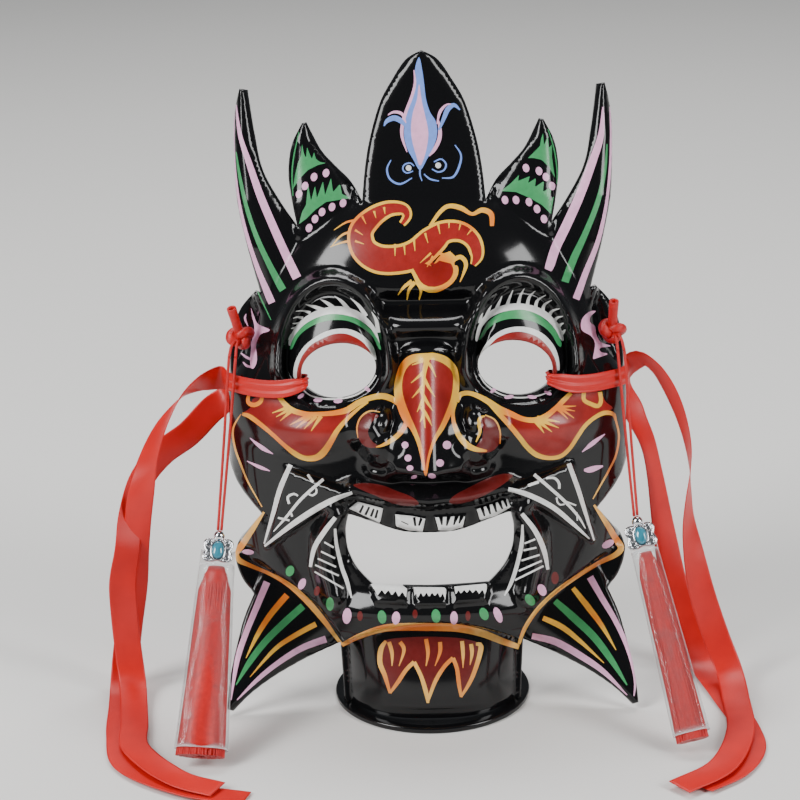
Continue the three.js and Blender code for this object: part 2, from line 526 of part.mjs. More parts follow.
// Two thin strands from the knot, side by side at the top and together at the charm.
function cordGeometry(frame, side, strand) {
  const out = side * CORD.out + strand * CORD.apart / 2;
  const top = knotPlace(side).add(new THREE.Vector3(out, -CORD.forward, -KNOT.radius - CORD.diameter / 2));
  const lift = CHARM.halfTall + 2 * CHARM.eyelet + CLEARANCE;
  const foot = new THREE.Vector3(strand * CORD.together / 2, 0, lift).applyMatrix4(frame.matrix);
  const middle = top.clone().lerp(foot, 0.5).add(new THREE.Vector3(0, 0, -CORD.sag));
  const path = new THREE.CatmullRomCurve3([top, middle, foot]);
  const rings = Array.from({ length: CORD.steps + 1 }, (_, i) => {
    const centre = path.getPoint(i / CORD.steps);
    return Array.from({ length: CORD.sides }, (_, k) => {
      const a = (2 * Math.PI * k) / CORD.sides;
      const out = new THREE.Vector3(Math.cos(a), Math.sin(a), 0);
      return centre.clone().addScaledVector(out, CORD.diameter / 2);
    });
  });
  return loft(rings.reverse());
}

// A butterfly-like plate with four lobes and a ball for the cord.
function charmGeometry() {
  const outline = Array.from({ length: CHARM.sides }, (_, i) => {
    const a = (2 * Math.PI * i) / CHARM.sides;
    const r = 1 - CHARM.notch * (1 + Math.cos(4 * a)) / 2;
    return new THREE.Vector2(CHARM.halfWide * r * Math.cos(a), CHARM.halfTall * r * Math.sin(a));
  });
  const flat = { depth: CHARM.thick, bevelEnabled: false };
  const plate = new THREE.ExtrudeGeometry(new THREE.Shape(outline), flat);
  plate.rotateX(Math.PI / 2).translate(0, CHARM.thick / 2, 0);
  const ball = new THREE.SphereGeometry(CHARM.eyelet, 10, 8);
  ball.translate(0, 0, CHARM.halfTall * (1 - CHARM.notch) + CHARM.eyelet * (1 - CHARM.sunk));
  return fromSolid(solid(plate).add(solid(ball)));
}

function stoneGeometry() {
  const stone = new THREE.SphereGeometry(1, 12, 4, 0, 2 * Math.PI, 0, Math.PI / 2);
  const base = new THREE.CircleGeometry(1, 12).rotateX(Math.PI / 2);
  const scale = [STONE.halfWide, STONE.high, STONE.halfTall];
  const parts = [stone, base].map((part) => part.toNonIndexed().getAttribute("position").array);
  const closed = new THREE.BufferGeometry();
  const positions = [...parts[0], ...parts[1]];
  closed.setAttribute("position", new THREE.Float32BufferAttribute(positions, 3));
  closed.scale(scale[0], scale[1], scale[2]).rotateX(Math.PI);
  return mergeVertices(closed.translate(0, -CHARM.thick / 2 - CLEARANCE, 0), MERGE);
}

// The tassel fills its film but for a gap, and its threads spread towards the foot.
function tasselGeometry(hang) {
  const { length, gap, flat, sides } = TASSEL;
  const start = -CHARM.halfTall - CLEARANCE;
  const top = hang.top - gap;
  const foot = hang.foot - gap;
  const ring = (z, radius) => Array.from({ length: sides }, (_, i) => {
    const a = (2 * Math.PI * i) / sides;
    return new THREE.Vector3(radius * Math.cos(a), Math.min(radius, SLEEVE.halfDeep) * flat * Math.sin(a), z);
  });
  return loft([ring(start - length, foot), ring(start - length / 2, (top + foot) / 2),
    ring(start - top, top), ring(start, top / 2)]);
}

// A flat clear bag, open at both ends, round the tassel.
function sleeveGeometry(hang) {
  const box = (inset, past) => {
    const ring = (z, halfWide) => {
      const x = halfWide - inset;
      const y = SLEEVE.halfDeep - inset;
      const c = SLEEVE.corner;
      const right = [[x - c, -y], [x, -y + c], [x, y - c], [x - c, y]];
      const left = right.map(([px, py]) => [-px, -py]);
      return [...right, ...left].map(([px, py]) => new THREE.Vector3(px, py, z));
    };
    return solid(loft([ring(-CHARM.halfTall - SLEEVE.length - past, hang.foot),
      ring(-CHARM.halfTall + past, hang.top)]));
  };
  return fromSolid(box(0, 0).subtract(box(SLEEVE.wall, SLEEVE.wall)));
}

const SATIN = { color: 0xd9140f, roughness: 0.38, metalness: 0 };
const LACQUER = { color: 0x0b0b0c, roughness: 0.08, metalness: 0 };
const SILVER = { color: 0xc4c6ca, roughness: 0.25, metalness: 1 };
const ENAMEL = { color: 0x2d7f92, roughness: 0.2, metalness: 0 };
const CLEAR = { color: 0xf2f4f5, roughness: 0.1, metalness: 0, transparent: true, opacity: 0.3 };

const root = new THREE.Group();
function add(name, geometry, look) {
  const mesh = new THREE.Mesh(geometry, new THREE.MeshStandardMaterial(look));
  mesh.name = name;
  root.add(mesh);
  return mesh;
}

add("mask", maskGeometry(), LACQUER);
add("stand", standGeometry(), LACQUER);
add("ribbon_left", ribbonGeometry(-1, LEFT_FRONT, LEFT_BACK), SATIN);
add("ribbon_right", ribbonGeometry(1, RIGHT_FRONT, RIGHT_BACK), SATIN);
for (const [name, hang] of Object.entries(HANG)) {
  add(`knot_${name}`, knotGeometry(hang.side), SATIN).position.copy(knotPlace(hang.side));
  const frame = hangingFrame(hang);
  add(`tassel_cord_${name}_inner`, cordGeometry(frame, hang.side, -hang.side), SATIN);
  add(`tassel_cord_${name}_outer`, cordGeometry(frame, hang.side, hang.side), SATIN);
  root.add(frame);
  frame.add(add(`charm_${name}`, charmGeometry(), SILVER));
  frame.add(add(`stone_${name}`, stoneGeometry(), ENAMEL));
  frame.add(add(`tassel_${name}`, tasselGeometry(hang), SATIN));
  frame.add(add(`sleeve_${name}`, sleeveGeometry(hang), CLEAR));
}

export default root;
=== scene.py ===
"""A lacquered demon mask with painted ornament, tie ribbons and tassels, on its stand."""
import math

import bmesh
import bpy
import numpy as np
from bpy.props import FloatProperty, FloatVectorProperty, IntProperty, PointerProperty
from mathutils import Matrix, Vector
from mathutils.geometry import delaunay_2d_cdt
from mathutils.kdtree import KDTree


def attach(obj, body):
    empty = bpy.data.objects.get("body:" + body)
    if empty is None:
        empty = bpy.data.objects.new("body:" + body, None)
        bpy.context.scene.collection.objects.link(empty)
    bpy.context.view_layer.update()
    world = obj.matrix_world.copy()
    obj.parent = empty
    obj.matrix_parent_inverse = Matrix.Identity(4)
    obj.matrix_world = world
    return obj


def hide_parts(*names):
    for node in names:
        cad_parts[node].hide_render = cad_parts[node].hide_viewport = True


bl_info = {
    "name": "Tribal Mask",
    "version": (1, 0, 0),
    "blender": (4, 5, 0),
    "location": "View3D > Sidebar > Mask",
    "description": "Builds a lacquered demon mask with painted ornament, ribbons and tassels",
    "category": "Add Mesh",
}

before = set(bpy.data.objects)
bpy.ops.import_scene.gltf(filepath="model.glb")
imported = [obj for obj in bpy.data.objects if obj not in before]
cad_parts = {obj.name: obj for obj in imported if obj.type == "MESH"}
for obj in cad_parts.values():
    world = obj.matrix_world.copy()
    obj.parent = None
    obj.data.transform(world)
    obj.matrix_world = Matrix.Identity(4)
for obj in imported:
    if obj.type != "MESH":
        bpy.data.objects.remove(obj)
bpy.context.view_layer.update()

# Millimetres in this file are turned into metres where a mesh is made.
MM = 0.001
LEAN = math.radians(12)
CHIN_SETBACK = 17
STAND_HEIGHT = 3
STAND = {"radius": 50.3, "round": 0.9, "rim": 4, "dip": 0.4, "middle": 20, "sides": 160}
CLEARANCE = 0.3
WALL = 4

# The photograph's camera: where it looks, from how far and how steeply, and how it frames.
CAMERA = {"aim": 160.3, "distance": 1300, "pitch": math.radians(19.5), "roll": math.radians(1.014)}
FRAME = {"pixels": 800, "lens": 117, "sensor": 36, "centre": (427.5, 400)}
# The depths tried along a sight line, from the front to the back, and the spacing of paint outlines.
SIGHT_DEPTHS = (96, 4, -0.5)
PAINT_STEP = 2.2

# The face, in its own plane: x across, v up from the chin, depth towards the viewer.
FACE = {"x": 103, "narrow": 90, "v": 150, "up": 112, "down": 175, "edge": 10, "rise": 52, "taper": 35,
        "round_x": 2.4, "round_v": 2.6}
NOSE = {"top": 184, "long": 65, "half": 11, "wider": 10, "root": 11, "foot": 111, "tip": 8, "bridge": 6,
        "rise": 21}
SOCKET = {"x": 46.5, "v": 168, "half": 31.5, "above": 48, "below": 24, "fade": 13.8}
BROW = {"high": 7, "at": 0.91, "half": 0.13}
TROUGH = {"deep": 4, "at": 0.73, "half": 0.14}
LID = {"high": 5, "reach": 0.66}
NOSE_SIDE = (25, 138, 17, 12)
NOSTRIL = (22, 122, 14, 9)
CHEEK = {"x": 62, "v": 137, "half": 37, "tall": 17, "high": 9}
# Level bars over the face: height, v, half height and half width.
BARS = ((5, 45, 12, 60), (6, 188.5, 7, 22), (-6, 199.5, 7, 32))
CHIN = {"half": 46.5, "edge": 10, "rise": 46, "round_x": 2.6, "swell": 4, "swell_v": 6, "swell_half": 44}
JAW = {"straight": 44.5, "middle": 37.6, "drop": 12.5, "blend": 2.5, "depth": 66, "fall": 43, "reach": 100,
       "round_x": 1.8}
# A depth or distance that nothing on the mask comes near.
FAR = 1e3
PLATE = ((71, 117, 50), (39.7, 107, 68), (83.8, 73.8, 38))
PLATE_LIFT = 3
CROWN = (4, WALL, ((0, 236, 31, 36), (0, 262, 29.5, 31), (0, 280, 26.6, 28), (0, 298, 21.3, 26),
                   (0, 312, 13, 25), (0, 325, 3, 24)))
BIG_HORN = (7, WALL, ((64, 205, 20, 25), (76, 230, 14.5, 25), (83.5, 250, 11, 22),
                      (89.5, 278, 6, 17), (90.8, 307, 2.4, 14)))
SMALL_HORN = (5, WALL, ((48, 236, 18, 30), (52, 253, 15, 28), (56, 266, 11, 25),
                        (60, 279, 5.7, 23), (59.7, 290, 1.6, 22)))
EAR = (4, WALL, ((92, 146, 12, 10), (93, 175, 10, 10), (87, 204, 3, 12)))
FIN = (4, FAR, ((66, 46, 26, 28), (88, 20, 17, 34), (106, -9, 3, 41)))
HALF_OUTLINE = (
    ((0, 323.5), (8, 319), (15, 309), (21.3, 297.7), (26.6, 280.3), (29.4, 265), (31, 249)),
    ((31, 249), (36.7, 258.8), (43.8, 266.2), (51.5, 275), (58.4, 288.6)),
    ((60.6, 288.2), (66, 277.6), (68, 266), (67.4, 255), (64, 237)),
    ((64, 237), (72.4, 249), (80.9, 265), (84.9, 283.5), (88, 305.2)),
    ((92, 305.8), (95, 293), (95.6, 277.5), (94.5, 250.9), (90, 228.3), (83.6, 203.4)),
    ((86.6, 203.6), (95.5, 193), (100, 178), (101.5, 152), (101.6, 131), (102.6, 119),
     (97.5, 106), (85, 92)),
    ((85, 92), (94, 80.5), (99.8, 70.7), (97, 58), (90.6, 49.1)),
    ((90.6, 49.1), (95.5, 38), (98.5, 28), (103, 9), (105, -8.2)),
    ((102, -9.6), (93, -1), (80.4, 7.4), (65, 15), (47, 22.5)),
    ((47, 22.5), (46.2, 10), (45.5, -4.4)),
)
HALF_MOUTH = (
    ((0, 84.5), (14, 85.5), (29, 90.5), (40.5, 94.5)),
    ((40.5, 94.5), (42, 86), (41, 75.5), (36.5, 66.8), (29, 59)),
    ((29, 59), (0, 58.6)),
)
EYE = {"x": 44, "v": 166.5, "wide": 18.8, "high": 13.8, "tilt": math.radians(11)}
SIDE_JAW = ((44.5, 25.1), (50, 34), (57.5, 43.5), (70, 53), (83.6, 62), (100, 70.7))
LIP_LINE = ((0, 102), (20, 104), (38, 108), (52, 101))
LIP_ROLL = (7, 7)
TUSK_LINE = ((46.5, 95), (52.5, 82), (52.5, 68), (49, 54))
TUSK_ROLL = (10, 9)

# The shell's mesh: its rim, the spacing of points, and the finer area round the nose.
RIM_ROUND = 1.6
RIM_SHARES = (0.22, 0.6, 1.05)
RIM_EVERY = 5
EDGE_STEP = 1.3
FINE_STEP = 0.9
BACK_STEP = 4
FINE_AREA = {"half": 40, "v": 150, "tall": 58}
CHIN_FOOT = {"half": 45.5, "points": 130, "below": -4, "beside": 60, "guess": -8.0, "passes": 40,
             "near": 0.02}
RIM_SAMPLE = 0.25

# Fine relief: each tooth's corners, and lines with a half width and a height.
TEETH = (
    ((-40.1, 97.4), (-35.7, 100.9), (-23.1, 97.5), (-24.8, 89.9)),
    ((-17.1, 94.3), (-2.2, 91.8), (-3.6, 85.3), (-16.9, 88.2)),
    ((2.8, 92.4), (17.8, 92.8), (16.5, 87.2), (4.4, 85.8)),
    ((23.5, 96.1), (39.2, 101), (40.6, 96.9), (25.1, 90.5)),
    ((-29.9, 58.4), (-10.8, 58.4), (-11.5, 50.2), (-28, 50.6)),
    ((-8.4, 58.2), (8.2, 58.2), (7.6, 50), (-7.8, 50)),
    ((10.6, 58.4), (29, 58.4), (27.4, 50.6), (11.4, 50.2)),
)
TOOTH = {"high": 1.7, "edge": 0.9}
TOOTH_RING = 0.07
PLATE_RING = 0.025
CARVED_LINES = (
    (2.8, -1.5, ((28.1, 148.2), (22.8, 150.2), (18.4, 147.9), (16.5, 143), (18.5, 137.8), (23, 136.4),
                 (25.2, 140.3), (24, 144.7))),
    (2, 0.9, ((0, 179.1), (7, 178.2), (13.9, 175.3))),
    (3.6, -2.4, ((19.5, 119.4), (23.5, 118.2), (27, 118.8))),
    (2.2, 0.8, ((0, 206.8), (18, 207.4), (34, 210.5))),
)

# Ties and tassels.
RIBBON = {"half": 7, "over_cheek": 4.5, "through_eye": 2, "thick": 0.35, "lift": 2.4, "near": 1.5}
LEFT_FRONT = ((-105, 32, 163, 0, -0.2, 1), (-114, 28, 162, 0, -0.6, 0.8), (-124, 23, 157, 0.1, -0.9, 0.4),
              (-130, 20, 150, 0.2, -1, 0.1), (-137, 18, 139, 0.5, -0.85, 0), (-143, 16, 125, 0.7, -0.7, 0),
              (-148, 15, 105, 1, -0.2, 0), (-152, 17, 78, 1, 0, 0), (-154, 18, 55, 1, 0.3, 0),
              (-158, 17, 32, 1, 0.2, 0), (-161, 13, 10, 1, 0.1, 0), (-161, 2, 3, 1, 0, 0),
              (-160, -14, 1.6, 1, 0, 0), (-158, -45, 1.4, 1, -0.1, 0), (-150, -81, 1.4, 0.8, -0.6, 0),
              (-119, -108, 1.4, 0.5, -0.85, 0), (-90, -117, 1.4, 0.4, -0.9, 0))
LEFT_BACK = ((-105, 50, 146, -0.2, 0.5, 0.9), (-113, 46, 140, -0.5, 0.2, 0.8), (-124, 40, 130, -0.7, 0, 0.7),
             (-137, 34, 122, -0.6, -0.1, 0.8), (-148, 28, 110, -0.9, -0.4, 0.4),
             (-154, 20, 94, -1, -0.8, 0.1),
             (-156, 12, 78, -1, -0.7, 0), (-159, 9, 61, -1, -0.3, 0), (-159, 8, 44, -1, 0, 0),
             (-158, 7, 24, -1, 0, 0), (-156, 1, 9, -1, 0, 0), (-154, -14, 4.6, -1, 0, 0),
             (-151, -40, 3.8, -1, 0.1, 0), (-148, -66, 3.6, -0.9, 0.4, 0), (-124, -100, 3.4, -0.6, 0.8, 0),
             (-104, -111, 3.4, -0.5, 0.85, 0))
RIGHT_FRONT = ((104, 32, 166, 0, -0.2, 1), (109, 30, 170, 0, -0.6, 0.8), (116, 27, 166, 0.3, -0.85, 0.45),
               (122, 24, 158, 0.45, -0.85, 0.3), (127, 21, 148, 0.45, -0.9, 0.1),
               (130.5, 19, 138, 0.35, -0.95, 0),
               (133, 18, 127, 0.2, -1, 0), (134, 17, 114, -0.1, -1, 0), (133.4, 16, 100, -0.35, -0.95, 0),
               (133.2, 15, 87, -0.5, -0.85, 0), (135, 14, 73, -0.75, -0.65, 0), (140, 12, 49, -1, -0.3, 0),
               (148, 9, 24, -1, -0.1, 0), (154, 0, 9, -1, 0, 0), (155, -24, 4.4, -1, 0, 0),
               (153, -60, 3.6, -1, 0.2, 0), (139, -98, 3.4, -0.85, 0.55, 0), (117, -117, 3.4, -0.75, 0.65, 0))
RIGHT_BACK = ((104, 50, 143, 0.1, 0.4, 0.9), (108, 46, 133, 0.4, 0.7, 0.4), (114, 42, 120, 0.5, 0.8, 0.2),
              (118, 40, 103, 0.6, 0.75, 0.1), (123, 36, 72, 0.85, 0.5, 0), (127.5, 33, 47, 1, 0.25, 0),
              (134, 29, 22, 1, 0.1, 0), (141, 20, 5, 1, 0.1, 0), (150, -15, 1.6, 1, 0.2, 0),
              (157, -50, 1.4, 1, 0.1, 0), (157, -74, 1.4, 1, -0.1, 0), (146, -98, 1.4, 0.8, -0.6, 0),
              (128, -114, 1.4, 0.75, -0.65, 0))
OVER_CHEEK = ((101, 158.5), (92, 157.5), (82, 157), (73, 157.5), (66, 159), (60.5, 160.8))
THROUGH_EYE = (60.2, 161.2)
BEHIND_CHEEK = ((60.5, 160.8), (66, 159.5), (78, 158.5), (92, 156), (103, 154))
RIBBON_MESH = {"step": 1.8, "passes": 14, "across": 16}
# A gathered ribbon's folds: height, waves over the width, phase and how much the edges lie flat.
FOLDS = {"high": 0.9, "waves": 2.3, "phase": 0.4, "calm": 0.4}
# A free ribbon's cupping and tilt, each with the length over which it changes.
CUPPING = (0.5, 23)
TILTING = (0.3, 31)
KNOT = {"x": 94, "v": 181, "radius": 6.9, "gap": 7.5, "stub": 2.5, "stub_length": 15,
        "lean": math.radians(12), "right_lean": 0.03, "forward": 0.3, "strand": 2.7, "link": 1.3}
KNOT_LOOP = (1.75, 2.4, 1.3)
# The stub's shares of its radius, with the height over its foot or the depth under its open top.
STUB_FOOT = ((0.9, 0), (1, 6), (0.94, 10))
STUB_TOP = ((1, 0.5), (0.96, 0), (0.7, 0), (0.58, 0.6), (0.5, 5))
CORD = {"diameter": 1.5, "out": 4, "forward": 9.4, "apart": 3.4, "together": 1.7, "sag": 1.5}
CHARM = {"wide": 9.6, "tall": 8, "thick": 2.4, "notch": 0.3, "eyelet": 2.8, "sunk": 0.2}
WIRES = {"rim": 0.6, "inset": 0.7, "raised": 0.2, "plate": 0.55, "setting": 0.55, "round_stone": 0.45}
SCROLL = {"wide": 5.9, "tall": 4.7, "start": 0.4, "turn": 5.2, "radius": 2, "taper": 0.72, "wire": 0.42,
          "points": 26}
BEADS = {"wide": 8.2, "tall": 6.7, "turns": (-0.34, 0, 0.34), "drawn_in": 0.4,
         "profile": [(0.1, -0.7), (0.5, -0.5), (0.72, 0), (0.5, 0.5), (0.1, 0.7)]}
STONE = {"wide": 3, "tall": 4.6, "high": 1.8}
TASSEL = {"gap": 1.6, "flat": 0.62, "below_charm": 0.4, "extra": 0.0028, "seed": 11}
# The threads' shape along their length: head, how narrow it starts, and how far they sway.
THREADS = {"points": 9, "sides": 5, "head": 0.1, "narrow": 0.5, "wave": 2.3, "sway": 0.0022}
# The core inside a tassel: how far down, and its shares of the top and foot radius.
CORE = ((0, 0.45, 0), (4, 0.8, 0), (9, 0.9, 0), (60, 0, 0.8), (92, 0, 0.84), (95, 0, 0.6))
SLEEVE = {"length": 99, "seen": 95, "deep": 7, "wall": 0.3, "flap": 9, "rows": 54, "sides": 64}
# A film's section: its depth at the top and how much it loses, how square it is, its seams and creases, and
# how far the painted highlight reaches from the top and foot.
FILM = {"top": 0.9, "loses": 0.1, "square_x": 0.75, "square_y": 0.9, "seam": 8, "at_seam": 0.5, "crease": 0.3,
        "creases": 4, "twist": 5, "waves": 8, "flap_from": 0.1, "flap_over": 0.4, "flap_fades": 12,
        "end_band": 40}
HANG = {
    "left": {"side": -1, "x": 107.2, "y": -12, "swing": math.radians(41.7), "spread": math.radians(5),
             "top": 9, "foot": 13.4},
    "right": {"side": 1, "x": 106.5, "y": -12, "swing": math.radians(37), "spread": math.radians(14.5),
              "top": 7, "foot": 9.4},
}


# Small geometry helpers.
def clamp(t):
    return np.clip(t, 0, 1)


def smooth(t):
    t = clamp(t)
    return t * t * (3 - 2 * t)


def mound(t):
    return (1 - clamp(t * t)) ** 2


def dome(t):
    return np.sqrt(1 - clamp(t * t))


def even(line, step):
    """Points at equal spacing along a fine polyline."""
    line = np.asarray(line, float)
    reach = np.r_[0, np.cumsum(np.linalg.norm(np.diff(line, axis=0), axis=1))]
    at = np.linspace(0, reach[-1], max(1, round(reach[-1] / step)) + 1)
    return np.stack([np.interp(at, reach, line[:, k]) for k in range(line.shape[1])], 1)


def spline(points, step, closed=False):
    """Evenly spaced points on a smooth curve through points, in any number of dimensions."""
    p = np.asarray(points, float)
    ext = np.vstack([p[-1:], p, p[:2]]) if closed else np.vstack([p[:1], p, p[-1:]])
    t = np.linspace(0, 1, 12, endpoint=False)[:, None]
    fine = []
    for p0, p1, p2, p3 in zip(ext, ext[1:], ext[2:], ext[3:]):
        a, b = (p2 - p0) / 2, (p3 - p1) / 2
        fine.append((2 * p1 - 2 * p2 + a + b) * t**3 + (3 * p2 - 3 * p1 - 2 * a - b) * t**2 + a * t + p1)
    fine.append(p[:1] if closed else p[-1:])
    line = even(np.vstack(fine), step)
    return line[:-1] if closed else line


def centripetal(points, per=16):
    """Fine points on a curve that never overshoots, per points for each stretch."""
    p = np.asarray(points, float)
    ext = np.vstack([2 * p[0] - p[1], p, 2 * p[-1] - p[-2]])
    t = np.linspace(0, 1, per, endpoint=False)[:, None]
    fine = []
    for x0, x1, x2, x3 in zip(ext, ext[1:], ext[2:], ext[3:]):
        g0, g1, g2 = (max(np.linalg.norm(b - a) ** 0.5, 1e-4) for a, b in ((x0, x1), (x1, x2), (x2, x3)))
        a = ((x1 - x0) / g0 - (x2 - x0) / (g0 + g1) + (x2 - x1) / g1) * g1
        b = ((x2 - x1) / g1 - (x3 - x1) / (g1 + g2) + (x3 - x2) / g2) * g1
        fine.append((2 * x1 - 2 * x2 + a + b) * t**3 + (3 * x2 - 3 * x1 - 2 * a - b) * t**2 + a * t + x1)
    return np.vstack(fine + [p[-1:]])


def winding(loop, x, v):
    """How often a closed loop goes round each point."""
    a = np.asarray(loop, float)
    b = np.roll(a, -1, axis=0)
    total = np.zeros(len(x), int)
    for i in range(0, len(x), 4000):
        px, pv = x[i:i + 4000, None], v[i:i + 4000, None]
        left = (b[:, 0] - a[:, 0]) * (pv - a[:, 1]) - (px - a[:, 0]) * (b[:, 1] - a[:, 1])
        up = (a[:, 1] <= pv) & (b[:, 1] > pv) & (left > 0)
        down = (a[:, 1] > pv) & (b[:, 1] <= pv) & (left < 0)
        total[i:i + 4000] = up.sum(1) - down.sum(1)
    return total


def on_mask(x, v, depth):
    """Places on the mask's plane, in the row frame, in millimetres."""
    y = CHIN_SETBACK + v * math.sin(LEAN) - depth * math.cos(LEAN)
    z = STAND_HEIGHT + CLEARANCE + v * math.cos(LEAN) + depth * math.sin(LEAN)
    return np.stack(np.broadcast_arrays(np.asarray(x, float), y, z), -1)


def turn_to_mask(n):
    """Directions over the mask's plane, in the row frame."""
    y = n[..., 1] * math.sin(LEAN) - n[..., 2] * math.cos(LEAN)
    z = n[..., 1] * math.cos(LEAN) + n[..., 2] * math.sin(LEAN)
    return np.stack([n[..., 0], y, z], -1)


def unit(a):
    return a / np.maximum(np.linalg.norm(a, axis=-1, keepdims=True), 1e-9)


# The mask's relief.
def nearest(line, x, v):
    """Distance to a line of points, and which values of it hold there."""
    best = np.full(x.shape, np.inf)
    extra = np.zeros(x.shape + (len(line[0]) - 2,))
    for a, b in zip(line, line[1:]):
        ax, av, bx, bv = a[0], a[1], b[0], b[1]
        along = clamp(((x - ax) * (bx - ax) + (v - av) * (bv - av)) / ((bx - ax) ** 2 + (bv - av) ** 2))
        far = np.hypot(x - ax - along * (bx - ax), v - av - along * (bv - av))
        closer = far < best
        best = np.where(closer, far, best)
        for k in range(extra.shape[-1]):
            extra[..., k] = np.where(closer, a[2 + k] + along * (b[2 + k] - a[2 + k]), extra[..., k])
    return best, extra


def lobe(form, x, v):
    rise, reach, line = form
    far, wide = nearest(line, x, v)
    return np.where(far > wide[..., 0] + reach, -FAR, wide[..., 1] + rise * dome(far / wide[..., 0]))


def roll(line, high, half, x, v):
    return high * mound(nearest(line, x, v)[0] / half)


def bump(cx, cv, radius, high, x, v):
    return high * dome(np.hypot(x - cx, v - cv) / radius) ** 3


def bar(cv, half_high, half_wide, x, v):
    return mound((v - cv) / half_high) * mound((x / half_wide) ** 3)


def jaw_line(x):
    side = np.array(SIDE_JAW)
    middle = JAW["middle"] - JAW["drop"] * (x / JAW["straight"]) ** 2
    return np.where(x < JAW["straight"], middle, np.interp(x, side[:, 0], side[:, 1]))


def head_depth(x, v):
    half = FACE["x"] + (FACE["narrow"] - FACE["x"]) * smooth((v - FACE["v"]) / FACE["taper"])
    tall = np.where(v > FACE["v"], FACE["up"], FACE["down"])
    q = (x / half) ** FACE["round_x"] + (np.abs(v - FACE["v"]) / tall) ** FACE["round_v"]
    return np.where(q > 1, -FAR, FACE["edge"] + FACE["rise"] * np.sqrt(clamp(1 - q)))


def nose_height(x, v):
    t = clamp((NOSE["top"] - v) / NOSE["long"])
    width = NOSE["half"] + NOSE["wider"] * t
    start = smooth((NOSE["top"] - v) / NOSE["root"])
    end = smooth((v - NOSE["foot"]) / NOSE["tip"])
    high = NOSE["bridge"] * start + NOSE["rise"] * t
    return high * end * mound((x / width) * math.sqrt(0.5)) * dome(x / width)


def eye_relief(x, v):
    tall = np.where(v > SOCKET["v"], SOCKET["above"], SOCKET["below"])
    ring = np.hypot((x - SOCKET["x"]) / SOCKET["half"], (v - SOCKET["v"]) / tall)
    above = smooth((v - SOCKET["v"] + SOCKET["fade"]) / SOCKET["fade"])
    brow = BROW["high"] * above * mound((ring - BROW["at"]) / BROW["half"])
    trough = TROUGH["deep"] * mound((ring - TROUGH["at"]) / TROUGH["half"])
    return brow - trough + LID["high"] * dome(ring / LID["reach"])


def plate_depth(x, v):
    (ax, av, ad), (bx, bv, bd), (cx, cv, cd) = PLATE
    area = (bx - ax) * (cv - av) - (cx - ax) * (bv - av)
    b = ((x - ax) * (cv - av) - (cx - ax) * (v - av)) / area
    c = ((bx - ax) * (v - av) - (x - ax) * (bv - av)) / area
    inside = np.minimum(np.minimum(b, c), 1 - b - c) >= 0
    return np.where(inside, ad + b * (bd - ad) + c * (cd - ad) + PLATE_LIFT, -FAR)


def form_depth(x, v):
    """Depth of the front at x of the right half, before its finest detail."""
    swollen = CHIN["swell"] * (mound((v - CHIN["swell_v"]) / CHIN["swell_half"]) - 1)
    chin = CHIN["edge"] + (CHIN["rise"] + swollen) * np.sqrt(clamp(1 - (x / CHIN["half"]) ** CHIN["round_x"]))
    fin = lobe(FIN, x, v)
    below = np.where(x < CHIN["half"], np.maximum(chin, fin), fin)
    above_jaw = smooth((v - jaw_line(x)) / JAW["blend"])
    front = JAW["depth"] - JAW["fall"] * (x / JAW["reach"]) ** JAW["round_x"]
    jaw = front * smooth((FACE["v"] / 2 - v) / WALL)
    jaw = np.where(v < FACE["v"] / 2, jaw, -FAR)
    beside = np.hypot((x - CHEEK["x"]) / CHEEK["half"], (v - CHEEK["v"]) / CHEEK["tall"])
    carved = (nose_height(x, v) + eye_relief(x, v) + bump(*NOSE_SIDE, x, v) + bump(*NOSTRIL, x, v)
              + CHEEK["high"] * mound(beside) + roll(LIP_LINE, *LIP_ROLL, x, v)
              + roll(TUSK_LINE, *TUSK_ROLL, x, v))
    for high, *place in BARS:
        carved = carved + high * bar(*place, x, v)
    above = np.maximum(np.maximum(head_depth(x, v), jaw) + carved, plate_depth(x, v))
    for form in (CROWN, BIG_HORN, SMALL_HORN, EAR):
        above = np.maximum(above, lobe(form, x, v))
    mixed = below + (np.maximum(above, FACE["edge"]) - below) * above_jaw
    return np.where(above_jaw <= 0, below, np.where(above_jaw >= 1, above, mixed))


def within(corners, x, v):
    """How far a place lies inside a convex outline that runs clockwise, negative outside."""
    best = np.full(np.shape(x), FAR)
    for (ax, av), (bx, bv) in zip(corners, corners[1:] + corners[:1]):
        long = math.hypot(bx - ax, bv - av)
        best = np.minimum(best, ((bv - av) * (x - ax) - (bx - ax) * (v - av)) / long)
    return best


def fine_relief(x, v):
    """Height of teeth, grooves and thin ridges over the broad forms."""
    high = np.zeros(np.shape(x))
    for corners in TEETH:
        high = np.maximum(high, TOOTH["high"] * smooth(0.5 + within(corners, x, v) / TOOTH["edge"]))
    for half, rise, line in CARVED_LINES:
        high = high + roll(line, rise, half, np.abs(x), v)
    return high


def mirrored(parts, step):
    """A closed loop from the curves of its right half."""
    half = []
    for part in parts:
        for p in spline(part, step):
            if not half or math.hypot(p[0] - half[-1][0], p[1] - half[-1][1]) > step / 8:
                half.append((p[0], p[1]))
    return half + [(-x, v) for x, v in reversed(half) if x > step / 8]


def eye_loop(side, step):
    count = round(math.pi * (EYE["wide"] + EYE["high"]) / step)
    a = np.linspace(0, 2 * math.pi, count, endpoint=False)
    across, up = EYE["wide"] * np.cos(a), EYE["high"] * np.sin(a)
    x = EYE["x"] + across * math.cos(EYE["tilt"]) + up * math.sin(EYE["tilt"])
    return list(zip(side * x, EYE["v"] + up * math.cos(EYE["tilt"]) - across * math.sin(EYE["tilt"])))


